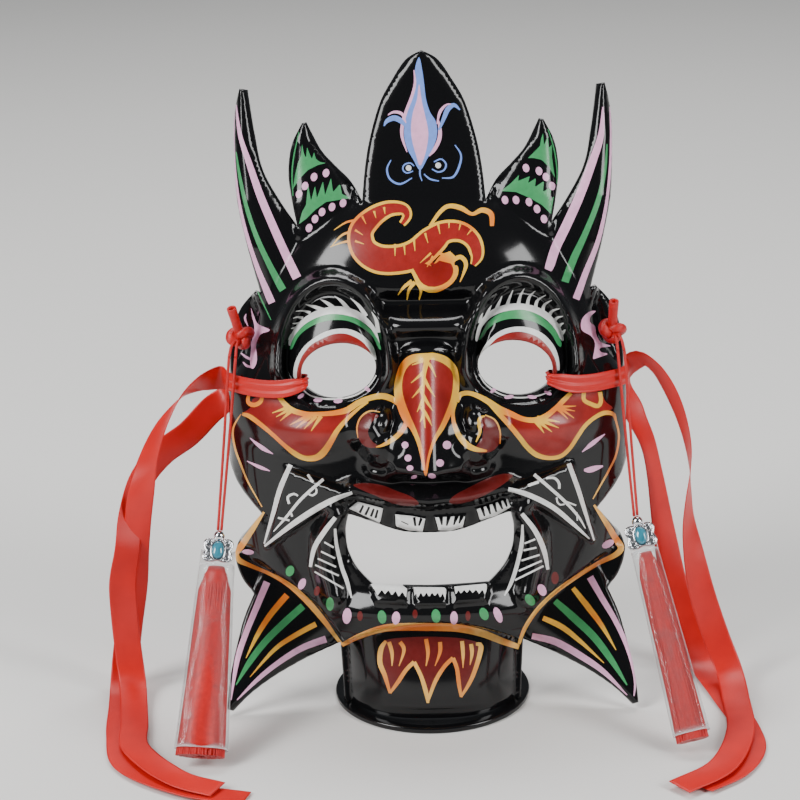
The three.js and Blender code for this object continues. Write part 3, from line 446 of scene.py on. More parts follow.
def blur(grid, sigma):
    """A smooth average of a grid over sigma cells."""
    reach = max(1, math.ceil(2.5 * sigma))
    weight = np.exp(-0.5 * (np.arange(-reach, reach + 1) / sigma) ** 2)
    weight /= weight.sum()
    for axis in (0, 1):
        wide = np.pad(grid, [(reach, reach) if k == axis else (0, 0) for k in (0, 1)], mode="edge")
        size = grid.shape[axis]
        grid = sum(w * np.take(wide, range(i, i + size), axis) for i, w in enumerate(weight))
    return grid


class Relief:
    """The mask's front and back depth over its own plane, on a fine grid."""

    STEP = 0.5
    FRONT_BLUR = 1.6
    BACK_BLUR = 1.2
    THINNEST = 0.75
    COVERED = 0.05
    LOW = (-112, -26)
    HIGH = (112, 332)
    made = None

    @classmethod
    def shared(cls):
        """The relief, worked out once."""
        cls.made = cls.made or cls()
        return cls.made

    def __init__(self):
        self.xs = np.arange(self.LOW[0], self.HIGH[0] + self.STEP, self.STEP)
        self.vs = np.arange(self.LOW[1], self.HIGH[1] + self.STEP, self.STEP)
        x, v = np.meshgrid(self.xs, self.vs)
        half = x[:, x.shape[1] // 2:]
        form = form_depth(half, v[:, x.shape[1] // 2:])
        form = np.concatenate([form[:, :0:-1], form], 1)
        self.edge = mirrored(HALF_OUTLINE, EDGE_STEP)
        self.holes = [eye_loop(1, EDGE_STEP), eye_loop(-1, EDGE_STEP), mirrored(HALF_MOUTH, EDGE_STEP)]
        inside = self.inside(x.ravel(), v.ravel()).reshape(x.shape) & (form > -FAR / 10)
        weight = inside.astype(float)
        depth = np.maximum(form, FACE["edge"])
        near = blur(weight, self.FRONT_BLUR)
        spread = blur(depth * weight, self.FRONT_BLUR)
        smoothed = np.where(near > 1e-3, spread / np.maximum(near, 1e-3), depth)
        self.front = smoothed + fine_relief(x, v)
        slant = round(WALL * math.sqrt(0.5) / self.STEP)
        known = np.where(near > self.COVERED, smoothed, FAR)
        back = smoothed - WALL
        for k in range(8):
            i, j = round(slant * math.sin(k * math.pi / 4)), round(slant * math.cos(k * math.pi / 4))
            moved = np.roll(known, (i, j), (0, 1))
            back = np.minimum(back, moved - slant * self.STEP)
        self.back = np.minimum(blur(back, self.BACK_BLUR), smoothed - WALL * self.THINNEST)

    def inside(self, x, v):
        """Whether the mask has material there."""
        found = winding(self.edge, x, v) != 0
        for hole in self.holes:
            found &= winding(hole, x, v) == 0
        return found

    def at(self, grid, x, v):
        """A grid's value between its points."""
        i = np.clip((np.asarray(x, float) - self.LOW[0]) / self.STEP, 0, grid.shape[1] - 1.001)
        j = np.clip((np.asarray(v, float) - self.LOW[1]) / self.STEP, 0, grid.shape[0] - 1.001)
        i0, j0 = i.astype(int), j.astype(int)
        s, t = i - i0, j - j0
        low = grid[j0, i0] * (1 - s) + grid[j0, i0 + 1] * s
        high = grid[j0 + 1, i0] * (1 - s) + grid[j0 + 1, i0 + 1] * s
        return low * (1 - t) + high * t

    def normals(self, grid, x, v):
        """Outward directions of the front over the mask's plane."""
        dv, dx = np.gradient(grid, self.STEP)
        n = np.stack([-self.at(dx, x, v), -self.at(dv, x, v), np.ones(np.shape(x))], -1)
        return unit(n)


# From the photograph's pixels to the mask.
def camera_axes():
    """Right, up and forward of the photograph's camera, and its place in millimetres."""
    pitch, roll_by = CAMERA["pitch"], CAMERA["roll"]
    ahead = np.array([0, math.cos(pitch), -math.sin(pitch)])
    up = np.array([0, math.sin(pitch), math.cos(pitch)])
    right = np.array([1.0, 0, 0])
    place = np.array([0, 0, CAMERA["aim"]]) - CAMERA["distance"] * ahead
    return (right * math.cos(roll_by) - up * math.sin(roll_by),
            right * math.sin(roll_by) + up * math.cos(roll_by), ahead, place)


def pixels_to_mask(relief, pixels):
    """Where the sight lines through the photograph's pixels first meet the mask's front."""
    right, up, ahead, place = camera_axes()
    focal = FRAME["pixels"] * FRAME["lens"] / FRAME["sensor"]
    p = np.asarray(pixels, float) - FRAME["centre"]
    ray = ahead * focal + right * p[:, :1] - up * p[:, 1:]
    from_foot = place - on_mask(0, 0, 0)
    sin, cos = math.sin(LEAN), math.cos(LEAN)
    start = np.array([from_foot[0], from_foot[1] * sin + from_foot[2] * cos,
                      from_foot[2] * sin - from_foot[1] * cos])
    way = np.stack([ray[:, 0], ray[:, 1] * sin + ray[:, 2] * cos, ray[:, 2] * sin - ray[:, 1] * cos], 1)
    depths = np.arange(*SIGHT_DEPTHS)
    along = (depths[None, :] - start[2]) / way[:, 2:]
    x = start[0] + along * way[:, :1]
    v = start[1] + along * way[:, 1:2]
    above = relief.at(relief.front, x, v) - depths
    hit = np.argmax(above >= 0, axis=1)
    hit = np.where(above.max(1) < 0, len(depths) - 1, np.maximum(hit, 1))
    rows = np.arange(len(p))
    a, b = above[rows, hit - 1], above[rows, hit]
    share = np.clip(-a / np.maximum(b - a, 1e-6), 0, 1)[:, None]
    ends = np.stack([x, v], -1)
    return ends[rows, hit - 1] * (1 - share) + ends[rows, hit] * share


# Meshes.
def new_object(name, points, faces, mats, smooth_shade=True, indices=None, merge=True):
    """A piece from points in millimetres."""
    mesh = bpy.data.meshes.new(name)
    mesh.from_pydata([tuple(float(c) * MM for c in p) for p in points], [], [tuple(f) for f in faces])
    for material in mats:
        mesh.materials.append(material)
    if indices is not None:
        mesh.polygons.foreach_set("material_index", np.asarray(indices, np.int32))
    if merge:
        bm = bmesh.new()
        bm.from_mesh(mesh)
        bmesh.ops.remove_doubles(bm, verts=bm.verts, dist=1e-6)
        bm.to_mesh(mesh)
        bm.free()
    mesh.polygons.foreach_set("use_smooth", [smooth_shade] * len(mesh.polygons))
    mesh.update()
    obj = bpy.data.objects.new(name, mesh)
    bpy.context.scene.collection.objects.link(obj)
    return obj


def tube(path, radius, sides=10):
    """Points and faces of a closed tube along a path, without a twist; radius may differ along it."""
    path = np.asarray(path, float)
    radius = np.broadcast_to(radius, (len(path),))
    tangent = unit(np.gradient(path, axis=0))
    side = unit(np.cross(tangent[0], [0.1, 0.35, 0.93]))
    rings = []
    for p, t, r in zip(path, tangent, radius):
        side = unit(side - t * np.dot(side, t))
        other = np.cross(t, side)
        a = np.linspace(0, 2 * math.pi, sides, endpoint=False)[:, None]
        rings.append(p + r * (np.cos(a) * side + np.sin(a) * other))
    return loft(rings)


def loft(rings):
    """Points and faces of a closed loft through rings of equally many points."""
    n = len(rings[0])
    points = np.vstack(rings)
    faces = []
    for r in range(len(rings) - 1):
        for i in range(n):
            a, b = r * n + i, r * n + (i + 1) % n
            faces.append((a, b, b + n, a + n))
    last = (len(rings) - 1) * n
    faces.append(tuple(range(n - 1, -1, -1)))
    faces.append(tuple(range(last, last + n)))
    return points, faces


def outward(obj):
    """Recalculates the normals of a closed mesh."""
    bm = bmesh.new()
    bm.from_mesh(obj.data)
    bmesh.ops.recalc_face_normals(bm, faces=bm.faces)
    bm.to_mesh(obj.data)
    bm.free()
    return obj


def joined(name, parts, mats, **options):
    """One piece from several sets of points and faces."""
    points, faces, indices, count = [], [], [], 0
    for k, (p, f) in enumerate(parts):
        points.extend(p)
        faces.extend(tuple(i + count for i in face) for face in f)
        indices.extend([min(k, len(mats) - 1)] * len(f))
        count += len(p)
    return new_object(name, points, faces, mats, indices=indices, **options)


# Materials.
class Nodes:
    """A material's node tree, with a short way to add and link nodes."""

    def __init__(self, name, colour, roughness, **sockets):
        self.material = bpy.data.materials.new(name)
        self.material.use_nodes = True
        self.tree = self.material.node_tree
        self.shader = self.tree.nodes["Principled BSDF"]
        self.material.diffuse_color = (*colour, 1)
        self.put(self.shader, {"Base Color": (*colour, 1), "Roughness": roughness, **sockets})
        self.coords = self.tree.nodes.new("ShaderNodeTexCoord").outputs["Object"]

    def put(self, node, values):
        for key, value in values.items():
            socket = node.inputs[key]
            if isinstance(value, bpy.types.NodeSocket):
                self.tree.links.new(value, socket)
            else:
                socket.default_value = value

    def add(self, kind, values=None, **settings):
        node = self.tree.nodes.new(f"ShaderNode{kind}")
        for key, value in settings.items():
            setattr(node, key, value)
        self.put(node, values or {})
        return node

    def noise(self, scale, detail=3, rough=0.5):
        node = self.add("TexNoise", {"Vector": self.coords, "Scale": scale, "Detail": detail,
                                     "Roughness": rough})
        return node.outputs["Fac"]

    def ramp(self, value, low, high):
        node = self.add("MapRange", {"Value": value, "To Min": low, "To Max": high})
        return node.outputs["Result"]

    def bump(self, height, strength, distance):
        node = self.add("Bump", {"Height": height, "Strength": strength, "Distance": distance})
        self.put(self.shader, {"Normal": node.outputs["Normal"]})

    def shade(self, value, dark, light):
        node = self.add("Mix", {"Factor": value}, data_type="RGBA")
        node.inputs["A"].default_value = (*dark, 1)
        node.inputs["B"].default_value = (*light, 1)
        self.put(self.shader, {"Base Color": node.outputs["Result"]})

    def blush(self, other, low, high):
        """Let the base colour drift into another one in broad patches."""
        base = self.shader.inputs["Base Color"].links[0].from_socket
        patch = self.add("MapRange", {"Value": self.noise(42, 1), "From Min": low, "From Max": high})
        node = self.add("Mix", {"Factor": patch.outputs["Result"]}, data_type="RGBA")
        self.tree.links.new(base, node.inputs["A"])
        node.inputs["B"].default_value = (*other, 1)
        self.put(self.shader, {"Base Color": node.outputs["Result"]})


def lacquer(name, colour):
    """Black glaze with the faint unevenness of a hand-sprayed coat."""
    n = Nodes(name, colour, 0.09, **{"Coat Weight": 0.1, "Coat Roughness": 0.04, "Specular IOR Level": 0.32})
    n.put(n.shader, {"Roughness": n.ramp(n.noise(60), 0.08, 0.16)})
    n.bump(n.noise(38, 1), 0.06, 0.002)
    return n.material


# What a paint drifts into, where a second colour is airbrushed over it.
BLUSHING = {"paint_yellow": (0.8, 0.2, 0.015), "paint_gold": (0.7, 0.2, 0.03),
            "paint_red": (0.2, 0.006, 0.004)}


def enamel_paint(name, colour, spread=0.25):
    """Hand-laid paint: thicker and thinner strokes in one colour."""
    n = Nodes(name, colour, 0.3, **{"Coat Weight": 0.12, "Coat Roughness": 0.12, "Specular IOR Level": 0.4})
    dark = tuple(c * (1 - spread) for c in colour)
    light = tuple(min(1, c * (1 + spread * 0.6) + 0.01) for c in colour)
    n.shade(n.noise(320, 4, 0.6), dark, light)
    if name in BLUSHING:
        n.blush(BLUSHING[name], 0.44, 0.62)
    n.put(n.shader, {"Roughness": n.ramp(n.noise(500), 0.24, 0.4)})
    n.bump(n.noise(900, 2), 0.12, 0.0004)
    return n.material


def satin(name, colour):
    """Woven satin ribbon: fine ribs across its length and a soft sheen."""
    n = Nodes(name, colour, 0.4, **{"Sheen Weight": 0.1, "Sheen Roughness": 0.3, "Anisotropic": 0.5})
    uv = n.tree.nodes.new("ShaderNodeUVMap")
    uv.uv_map = "UVMap"
    wave = n.add("TexWave", {"Vector": uv.outputs["UV"], "Scale": 900, "Distortion": 0.6, "Detail": 2})
    n.shade(n.noise(90), tuple(c * 0.82 for c in colour), tuple(min(1, c * 1.12) for c in colour))
    n.bump(wave.outputs["Fac"], 0.1, 0.0003)
    return n.material


def thread(name, colour):
    """Rayon thread: a fine twist and a silky highlight."""
    n = Nodes(name, colour, 0.4, **{"Sheen Weight": 0.12, "Sheen Roughness": 0.3})
    n.shade(n.noise(420, 4), tuple(c * 0.6 for c in colour), tuple(min(1, c * 1.2) for c in colour))
    wave = n.add("TexWave", {"Vector": n.coords, "Scale": 520, "Distortion": 3, "Detail": 2},
                 bands_direction="DIAGONAL")
    n.bump(wave.outputs["Fac"], 0.3, 0.0004)
    return n.material


def silver(name, colour):
    """Cast silver-coloured metal with darker hollows."""
    n = Nodes(name, colour, 0.22, **{"Metallic": 1})
    n.shade(n.noise(500, 4), tuple(c * 0.55 for c in colour), colour)
    n.put(n.shader, {"Roughness": n.ramp(n.noise(900), 0.16, 0.36)})
    n.bump(n.noise(850, 3), 0.35, 0.0006)
    return n.material


def stone_glaze(name, colour):
    """A polished blue-green stone with cloudy bands."""
    n = Nodes(name, colour, 0.08, **{"Coat Weight": 0.8, "Coat Roughness": 0.03})
    n.shade(n.noise(300, 5), tuple(c * 0.4 for c in colour), tuple(min(1, c * 1.5 + 0.03) for c in colour))
    return n.material


def clear_film(name, colour):
    """Clear plastic film with a painted highlight along its seams, top and foot, and a little brighter over a
    few soft creases.
    """
    n = Nodes(name, colour, 0.07, **{"Alpha": 0.1, "Specular IOR Level": 1, "IOR": 1.5})
    # The seam attribute weighs a painted highlight: high along the film's seams and near its top and foot.
    seam = n.add("Attribute", attribute_name="seam").outputs["Fac"]
    wave = n.add("TexNoise", {"Vector": n.coords, "Scale": 70, "Detail": 2, "Distortion": 1.5}).outputs["Fac"]
    n.bump(wave, 0.4, 0.0012)
    # Base colour: dark over the film's body, bright where the painted highlight lies.
    n.shade(seam, tuple(c * 0.25 for c in colour), colour)
    crease = n.add("MapRange", {"Value": wave, "From Min": 0.56, "From Max": 0.7, "To Max": 0.07})
    crease = crease.outputs["Result"]
    # Opacity rises with the painted highlight, and a little over the creases.
    edge = n.add("MapRange", {"Value": seam, "To Min": 0.06, "To Max": 0.45}).outputs["Result"]
    n.put(n.shader, {"Alpha": n.add("Math", {0: crease, 1: edge}, operation="ADD").outputs[0]})
    n.material.surface_render_method = "BLENDED"
    return n.material


def look(key):
    """A finish by its name, made once."""
    found = bpy.data.materials.get(key)
    if found:
        return found
    colours = bpy.context.scene.mask_colours
    make = {"lacquer_black": lacquer, "satin_red": satin, "thread_red": thread, "silver": silver,
            "stone": stone_glaze, "film": clear_film}.get(key, enamel_paint)
    return make(key, tuple(getattr(colours, key)))


def lathe(name, profile, sides, mats):
    """A closed turned piece from [radius, z] points, from its lower pole to its upper one."""
    rings = []
    for r, z in profile[1:-1]:
        a = np.linspace(0, 2 * math.pi, sides, endpoint=False)
        rings.append(np.stack([r * np.cos(a), r * np.sin(a), np.full(sides, z)], 1))
    points, faces = loft(rings)
    return new_object(name, points, faces, mats)


# The painted front.
PAINTS = ("paint_pink", "paint_green", "paint_white", "paint_blue", "paint_yellow", "paint_gold", "paint_red",
          "paint_dark")
# Painted areas by finish, kind, widths and places, in the photograph's pixels; later ones lie on top.
STROKES = (
    # The crown's flower.
    ("blue", "fill", (), ((419, 57), (422, 69), (424, 83), (426, 99), (430, 112), (436, 122), (437, 135),
     (433, 148), (427, 159), (420, 170), (413, 159), (407, 148), (404, 135), (405, 122), (408, 107),
     (413, 94), (416, 80), (415, 69))),
    ("pink", "line", (1, 2.5, 3, 3, 3.5, 3, 1), ((414, 70), (415, 83), (412, 96), (407, 109), (403, 122),
     (402, 136), (407, 152))),
    ("pink", "line", (1, 3.5, 4, 3.5, 1), ((438, 119), (440, 130), (439, 140), (434, 150), (429, 156))),
    ("pink", "fill", (), ((419, 84), (422, 102), (425, 115), (428, 129), (428, 140), (425, 155),
     (420, 166), (416, 155), (412, 140), (411, 126), (413, 112), (417, 99))),
    ("blue", "line", (1.5, 5, 5.5, 4, 1), ((406, 127), (401, 121), (394, 118), (387, 121), (384, 126))),
    ("pink", "line", (1, 3, 2.5, 1), ((406, 123), (402, 114), (394, 112), (388, 115))),
    ("blue", "line", (2, 4, 5, 4, 1), ((439, 130), (444, 118), (448, 109), (454, 105), (460, 110))),
    ("pink", "line", (1, 3, 2, 0.8), ((437, 124), (440, 112), (446, 105), (451, 104))),
    ("white", "dots", (2.9, 2.9, 0), ((408.6, 168), (438.2, 165.4))),
    ("blue", "line", (1.2, 1.5, 1.5, 1.5, 1.2), ((414, 166), (410, 163), (404, 165), (403, 170),
     (407, 173), (413, 171))),
    ("blue", "line", (1, 1.8, 2, 2, 1), ((391, 160), (387, 169), (390, 179), (400, 184), (412, 178))),
    ("blue", "line", (1.2, 1.6, 1.8, 1.6, 1.2), ((434, 162), (441, 159), (446, 164), (444, 170),
     (438, 172), (432, 169))),
    ("blue", "line", (1, 1.8, 2.2, 2, 1), ((455, 145), (461, 155), (459, 167), (453, 177), (442, 178))),
    ("blue", "line", (1, 1.8, 1), ((424, 174), (430, 179), (439, 181))),
    ("blue", "line", (1.6, 1.6, 0.8), ((420, 169), (420, 175), (422, 181))),
    # Stripes of the large horns.
    ("pink", "line", (1.2, 1.8, 2.5, 3.5, 4.5, 7, 7), ((234, 112), (234, 155), (238, 195), (245, 229),
     (256, 264), (268, 294), (272, 303))),
    ("green", "line", (1.2, 3, 4, 5, 6, 7.5, 7.5), ((236, 152), (240, 178), (247, 209), (257, 238),
     (269, 264), (280, 285), (283, 290))),
    ("pink", "line", (1.2, 4, 6, 7.5, 8, 8.5, 9, 9), ((236, 105), (240, 135), (249, 163), (260, 195),
     (273, 226), (286, 255), (295, 274), (297, 278))),
    ("green", "line", (0.8, 1.4, 0.8), ((254, 284), (262, 301), (271, 320))),
    ("pink", "line", (1.5, 6, 8, 9, 9.5, 9.5, 9, 7), ((603, 107), (601, 135), (592, 163), (580, 195),
     (567, 224), (556, 247), (550, 265), (548, 270))),
    ("green", "line", (1.2, 3, 5, 6, 7.5, 7.5, 7.5), ((607, 144), (605, 169), (598, 201), (586, 232),
     (574, 258), (566, 279), (565, 282))),
    ("pink", "line", (1.2, 2, 2.5, 3, 4.5, 6, 7, 7), ((610, 107), (611, 135), (610, 169), (606, 206),
     (598, 241), (586, 272), (578, 294), (576, 299))),
    # Flames and dots of the small horns.
    ("green", "flat", (), ((293, 189), (295, 175), (298, 163), (301, 155), (302, 144), (304, 154),
     (306, 158), (307, 147), (310, 155), (312, 159), (314, 152), (316, 159), (320, 162), (326, 163),
     (318, 165), (308, 170), (300, 178))),
    ("green", "flat", (), ((299, 224), (302, 212), (306, 205), (308, 184), (311, 201), (315, 186),
     (317, 198), (323, 181), (325, 195), (331, 178), (333, 192), (340, 184), (342, 194), (351, 198),
     (338, 200), (326, 202), (315, 210), (306, 219))),
    ("pink", "dots", (3.3, 4.3, 15), ((299, 194), (305, 186), (314, 177), (326, 173), (309, 228),
     (315, 219), (322, 212), (332, 207), (343, 203))),
    ("green", "flat", (), ((528, 158), (534, 152), (540, 146), (541, 139), (543, 133), (544, 145),
     (548, 136), (549, 148), (552, 144), (552, 158), (555, 178), (549, 167), (542, 160), (534, 158))),
    ("green", "flat", (), ((501, 191), (510, 184), (519, 175), (518, 181), (530, 176), (528, 183),
     (536, 178), (535, 187), (544, 181), (543, 192), (552, 186), (549, 201), (554, 196), (551, 214),
     (542, 205), (530, 198), (516, 192))),
    ("pink", "dots", (3.3, 4.3, -15), ((526, 168), (539, 171), (546, 177), (552, 186), (505, 200),
     (516, 200), (529, 202), (537, 209), (544, 219))),
    ("green", "lines", (0.8, 1.3, 1.3, 0.8), (((299, 132), (294, 155), (292, 175), (293, 196)),
     ((548, 129), (554, 149), (557, 169), (557, 184)))),
    # The scroll on the forehead.
    ("yellow", "line", (7, 10, 13, 17, 22, 26, 28, 30, 30, 31, 30, 24, 21, 18, 14, 6), ((402, 224),
     (407, 216), (403, 209), (388, 209), (372, 218), (361, 232), (364, 249), (379, 259), (401, 259),
     (418, 253), (432, 241), (445, 232), (461, 232), (473, 241), (477, 255), (473, 265))),
    ("yellow", "line", (8, 20, 28, 30, 18, 8), ((411, 261), (421, 271), (431, 279), (444, 270),
     (447, 261), (453, 254))),
    ("yellow", "line", (3, 4, 4.5, 5, 3.5, 5, 5.5, 4), ((430, 226), (440, 212), (449, 206), (461, 208),
     (472, 214), (482, 210), (491, 214), (492, 226))),
    ("yellow", "line", (3, 4, 4, 4, 2), ((460, 235), (447, 238), (435, 242), (433, 251), (446, 255))),
    ("yellow", "line", (3, 4, 4.5, 4, 1), ((449, 267), (454, 260), (461, 257), (466, 265), (460, 282))),
    ("yellow", "lines", (3, 2, 0.6), (((361, 220), (347, 222), (334, 230)), ((355, 231), (342, 235),
     (331, 247)), ((356, 241), (344, 242), (330, 247)))),
    ("yellow", "lines", (4, 3, 0.8), (((412, 281), (404, 287), (398, 295)), ((415, 282), (409, 290),
     (407, 300)), ((417, 282), (421, 290), (419, 300)))),
    ("red", "line", (3, 5, 8, 11, 16, 20, 22, 24, 24, 25, 24, 18, 15, 12, 9, 3), ((402, 224), (407, 216),
     (403, 209), (388, 209), (372, 218), (361, 232), (364, 249), (379, 259), (401, 259), (418, 253),
     (432, 241), (445, 232), (461, 232), (473, 241), (477, 255), (473, 265))),
    ("red", "line", (4, 15, 22, 24, 12), ((412, 262), (422, 270), (431, 276), (442, 270), (445, 262))),
    ("yellow", "lines", (2.4, 0.6), (((362, 216), (366, 224)), ((355, 230), (363, 235)), ((355, 241),
     (364, 244)), ((384, 207), (385, 214)), ((374, 211), (376, 218)), ((395, 244), (395, 256)),
     ((404, 243), (405, 255)), ((414, 240), (415, 251)), ((425, 233), (428, 243)), ((438, 224),
     (440, 234)), ((449, 220), (449, 228)), ((461, 222), (459, 230)), ((431, 253), (420, 263)),
     ((433, 256), (427, 267)), ((472, 229), (467, 235)))),
    # Left eye: lashes, lid and rim, with a painted highlight along the lower rim.
    ("white", "fill", (), ((288.4, 343), (290.9, 334.4), (297.5, 324), (306.1, 316.3), (316.4, 310.6),
     (330.2, 306.8), (344, 306.8), (357.7, 311.1), (368.1, 318.9), (375.8, 329.2), (379.8, 343.8),
     (377, 338.2), (369.8, 327.8), (357.7, 319.2), (344, 314.9), (330.2, 314.4), (316.4, 317.8),
     (304.4, 325.2), (295.8, 334.7), (290.6, 345.9))),
    ("white", "line", (3, 1.6, 0.5), ((293.2, 333.5), (290.6, 335.7), (288.2, 340))),
    ("white", "lines", (2.6, 0.5), (((295.8, 327.8), (290.9, 328.5)), ((299.2, 323.2), (292.3, 323.7)))),
    ("white", "lines", (3, 1.6, 0.5), (((303, 318), (297.1, 317.1), (293, 318.5)), ((310.4, 312.8),
     (303, 310.8), (295.8, 311.3)))),
    ("white", "lines", (4.5, 3.2, 0.5), (((323.3, 310.3), (314.4, 306.8), (305.7, 304.6)),
     ((333.6, 308.2), (327.1, 303), (320.2, 299.2)), ((348.3, 309.4), (341.9, 301.7), (334.5, 296)),
     ((366, 316.3), (359.1, 306), (350.2, 297.9)), ((378.1, 332.6), (376.3, 320.6), (371.7, 312)))),
    ("green", "fill", (), ((290, 347), (295, 335), (304, 325), (316, 318), (330, 314), (344, 315),
     (358, 319), (369, 328), (377, 338), (381, 348), (379, 349), (372, 336), (361, 327), (348, 321),
     (334, 320), (322, 322), (310, 327), (299, 336), (292, 349))),
    ("white", "fill", (), ((293.7, 377.4), (293.3, 370.5), (295.8, 360.2), (302.6, 348.1), (313, 338.7),
     (325, 331.8), (338.8, 328.7), (352.6, 330.1), (364.6, 336.9), (373.2, 346.4), (376.3, 358.8),
     (372.5, 358.8), (368.1, 348.3), (359.5, 339.7), (347.4, 334.5), (333.6, 334.5), (321.6, 338.8),
     (311.3, 344.9), (302.6, 355.2), (297.8, 367.3), (296.8, 377.8))),
    ("red", "fill", (), ((297, 378), (298, 367), (303, 355), (311, 345), (322, 339), (334, 334),
     (347, 334), (360, 340), (368, 348), (373, 359), (376, 369), (370, 369), (365, 360), (356, 352),
     (344, 347), (330, 349), (318, 357), (310, 369), (306, 384), (302, 388))),
    # A painted highlight: the thin white line along the eye's lower rim.
    ("white", "line", (1.2, 1.4, 1.4, 1.4, 1.2), ((301.6, 387.7), (309.5, 395), (323.3, 398.8),
     (340.5, 398.8), (356, 395), (368.1, 386.9), (376.3, 375.3))),
    ("pink", "dots", (4, 1.9, -35), ((301, 396),)),
    ("pink", "dots", (4.6, 2.2, -5), ((318, 400), (338, 401))),
    ("pink", "dots", (3.8, 2, 38), ((367, 389),)),
    # Right eye, with a painted highlight along the lower rim.
    ("white", "fill", (), ((475.4, 339.9), (477.2, 329.2), (481, 320.6), (487.8, 312.8), (498.2, 306.8),
     (511.1, 303.7), (523.1, 303.7), (534.3, 306), (544.7, 310.6), (553.3, 318), (560.2, 326.6),
     (563.8, 339.9), (561, 339.9), (554.1, 327.8), (545.5, 319.2), (535.2, 313.2), (523.1, 310.3),
     (511.1, 310.3), (499, 313.2), (488.7, 319.2), (481.8, 327.8), (477.7, 340.7))),
    ("white", "lines", (4, 2.6, 0.5), (((480.1, 323.2), (481, 317.5), (482.9, 312.8)), ((486.1, 317.5),
     (488.7, 310.6), (491.5, 305.3)), ((495.9, 310.6), (499, 303), (502.1, 296)), ((506.8, 306.8),
     (509.4, 298.6), (513, 289.9)), ((518, 306.5), (520, 296.8), (524.5, 288.2)), ((526.9, 307.2),
     (529.3, 297.2), (535.4, 290.8)), ((535.5, 309.4), (537.3, 300.6), (545.9, 295.1)), ((542.4, 312.8),
     (544.5, 304.8), (551.9, 300.1)), ((548.6, 317.5), (552.1, 311), (559.8, 308.7)), ((553.8, 322),
     (557.2, 317.8), (563.1, 316.3)), ((557.9, 327.5), (561, 324.4), (563.8, 323)), ((561.4, 334.4),
     (563.8, 331.3), (565.5, 329.5)))),
    ("green", "fill", (), ((479, 339), (484, 329), (490, 320), (501, 313), (513, 310), (525, 310),
     (537, 314), (547, 321), (555, 329), (561, 341), (561, 347), (557, 344), (552, 335), (544, 327),
     (534, 322), (521, 319), (509, 319), (498, 322), (489, 328), (483, 336), (480, 340))),
    ("white", "fill", (), ((478.4, 365.7), (480.1, 355), (485.3, 344.7), (493.9, 335.2), (504.2, 329.2),
     (518, 326.6), (531.7, 328.3), (543.8, 334.4), (553.3, 344.7), (558.4, 356.7), (559.6, 369.7),
     (556.7, 369.1), (555, 358.8), (549, 348.5), (540.4, 339), (530, 333.8), (518, 331.6), (505.9, 333.8),
     (496.5, 339), (488.7, 346.8), (483.5, 357.1), (481.5, 366.6))),
    ("red", "fill", (), ((482, 367), (484, 357), (489, 347), (496, 339), (506, 334), (518, 332),
     (530, 334), (540, 339), (549, 348), (555, 359), (557, 369), (556, 375), (552, 378), (548, 369),
     (542, 358), (534, 350), (523, 346), (511, 345), (501, 347), (493, 353), (488, 362), (486, 369))),
    # A painted highlight: the thin white line along the eye's lower rim.
    ("white", "line", (1.2, 1.4, 1.4, 1.4, 1.2), ((479.2, 374.3), (484.4, 382.9), (492.1, 389.6),
     (502.5, 395), (516.3, 397.6), (530, 397), (542.1, 394.6), (551, 390.2))),
    ("pink", "dots", (4.2, 1.8, -33), ((494, 390),)),
    ("pink", "dots", (4.8, 1.8, -8), ((509, 397),)),
    ("pink", "dots", (4.8, 1.8, 5), ((532, 397),)),
    ("pink", "dots", (4, 1.8, 22), ((548, 393),)),
    # Ears.
    ("pink", "fill", (), ((251, 308), (254, 316), (258, 324), (270, 330), (261, 334), (258, 339),
     (256, 346), (257, 360), (254, 368), (251, 368), (250, 360), (251, 350), (251, 343), (254, 333),
     (254, 324), (252, 317))),
    ("pink", "line", (0.8, 2.2, 0.8), ((246, 314), (245, 319), (248, 326))),
    ("pink", "lines", (1, 2.4, 2), (((241, 353), (246, 357), (252, 360)), ((243, 362), (247, 366),
     (253, 367)))),
    ("pink", "fill", (), ((596, 311), (589, 312), (582, 319), (581, 328), (584, 332), (591, 336),
     (595, 343), (594, 352), (593, 359), (597, 358), (608, 354), (601, 352), (600, 348), (611, 346),
     (602, 343), (599, 340), (596, 333), (595, 326), (590, 322), (591, 316))),
    # Left cheek.
    ("red", "fill", (), ((242, 414), (250, 408), (254, 398), (272, 394), (278, 394), (284, 402),
     (294, 410), (308, 414), (323, 414), (339, 413), (351, 410), (344, 420), (335, 431), (328, 443),
     (322, 452), (311, 457), (301, 456), (289, 448), (277, 438), (265, 427), (253, 418))),
    ("yellow", "line", (4, 5, 5.5, 5, 4.5, 5, 6, 6, 5.5, 6, 6, 4), ((277, 393), (283, 402), (292, 410),
     (306, 414), (320, 414), (334, 413), (347, 410), (358, 403), (370, 398), (382, 396), (392, 399),
     (398, 404))),
    ("yellow", "line", (3, 4.5, 4.5, 4, 4, 5, 5, 6, 7, 6, 5, 4, 3, 2), ((242, 414), (249, 416),
     (260, 424), (272, 434), (284, 445), (294, 453), (304, 458), (315, 458), (323, 453), (330, 443),
     (337, 431), (346, 420), (358, 409), (368, 402))),
    ("yellow", "line", (3, 4, 4.5, 4, 3), ((249, 394), (248, 402), (254, 405), (261, 401), (262, 392))),
    ("yellow", "lines", (4, 0.6), (((289, 407), (272, 413)), ((290, 409), (276, 417)), ((291, 411),
     (280, 421)))),
    ("yellow", "lines", (4.5, 0.6), (((309, 415), (290, 425)), ((311, 416), (296, 428)), ((316, 416),
     (304, 429)), ((321, 416), (311, 431)))),
    ("gold", "line", (1, 2, 2, 2, 1.6, 1), ((241, 414), (233, 429), (235, 448), (241, 465), (248, 482),
     (262, 507))),
    ("pink", "line", (0.6, 3.2, 4, 0.6), ((250, 438), (257, 444), (264, 449), (273, 454))),
    ("pink", "line", (0.6, 2.6, 3.2, 0.6), ((247, 461), (255, 465), (262, 468), (270, 471))),
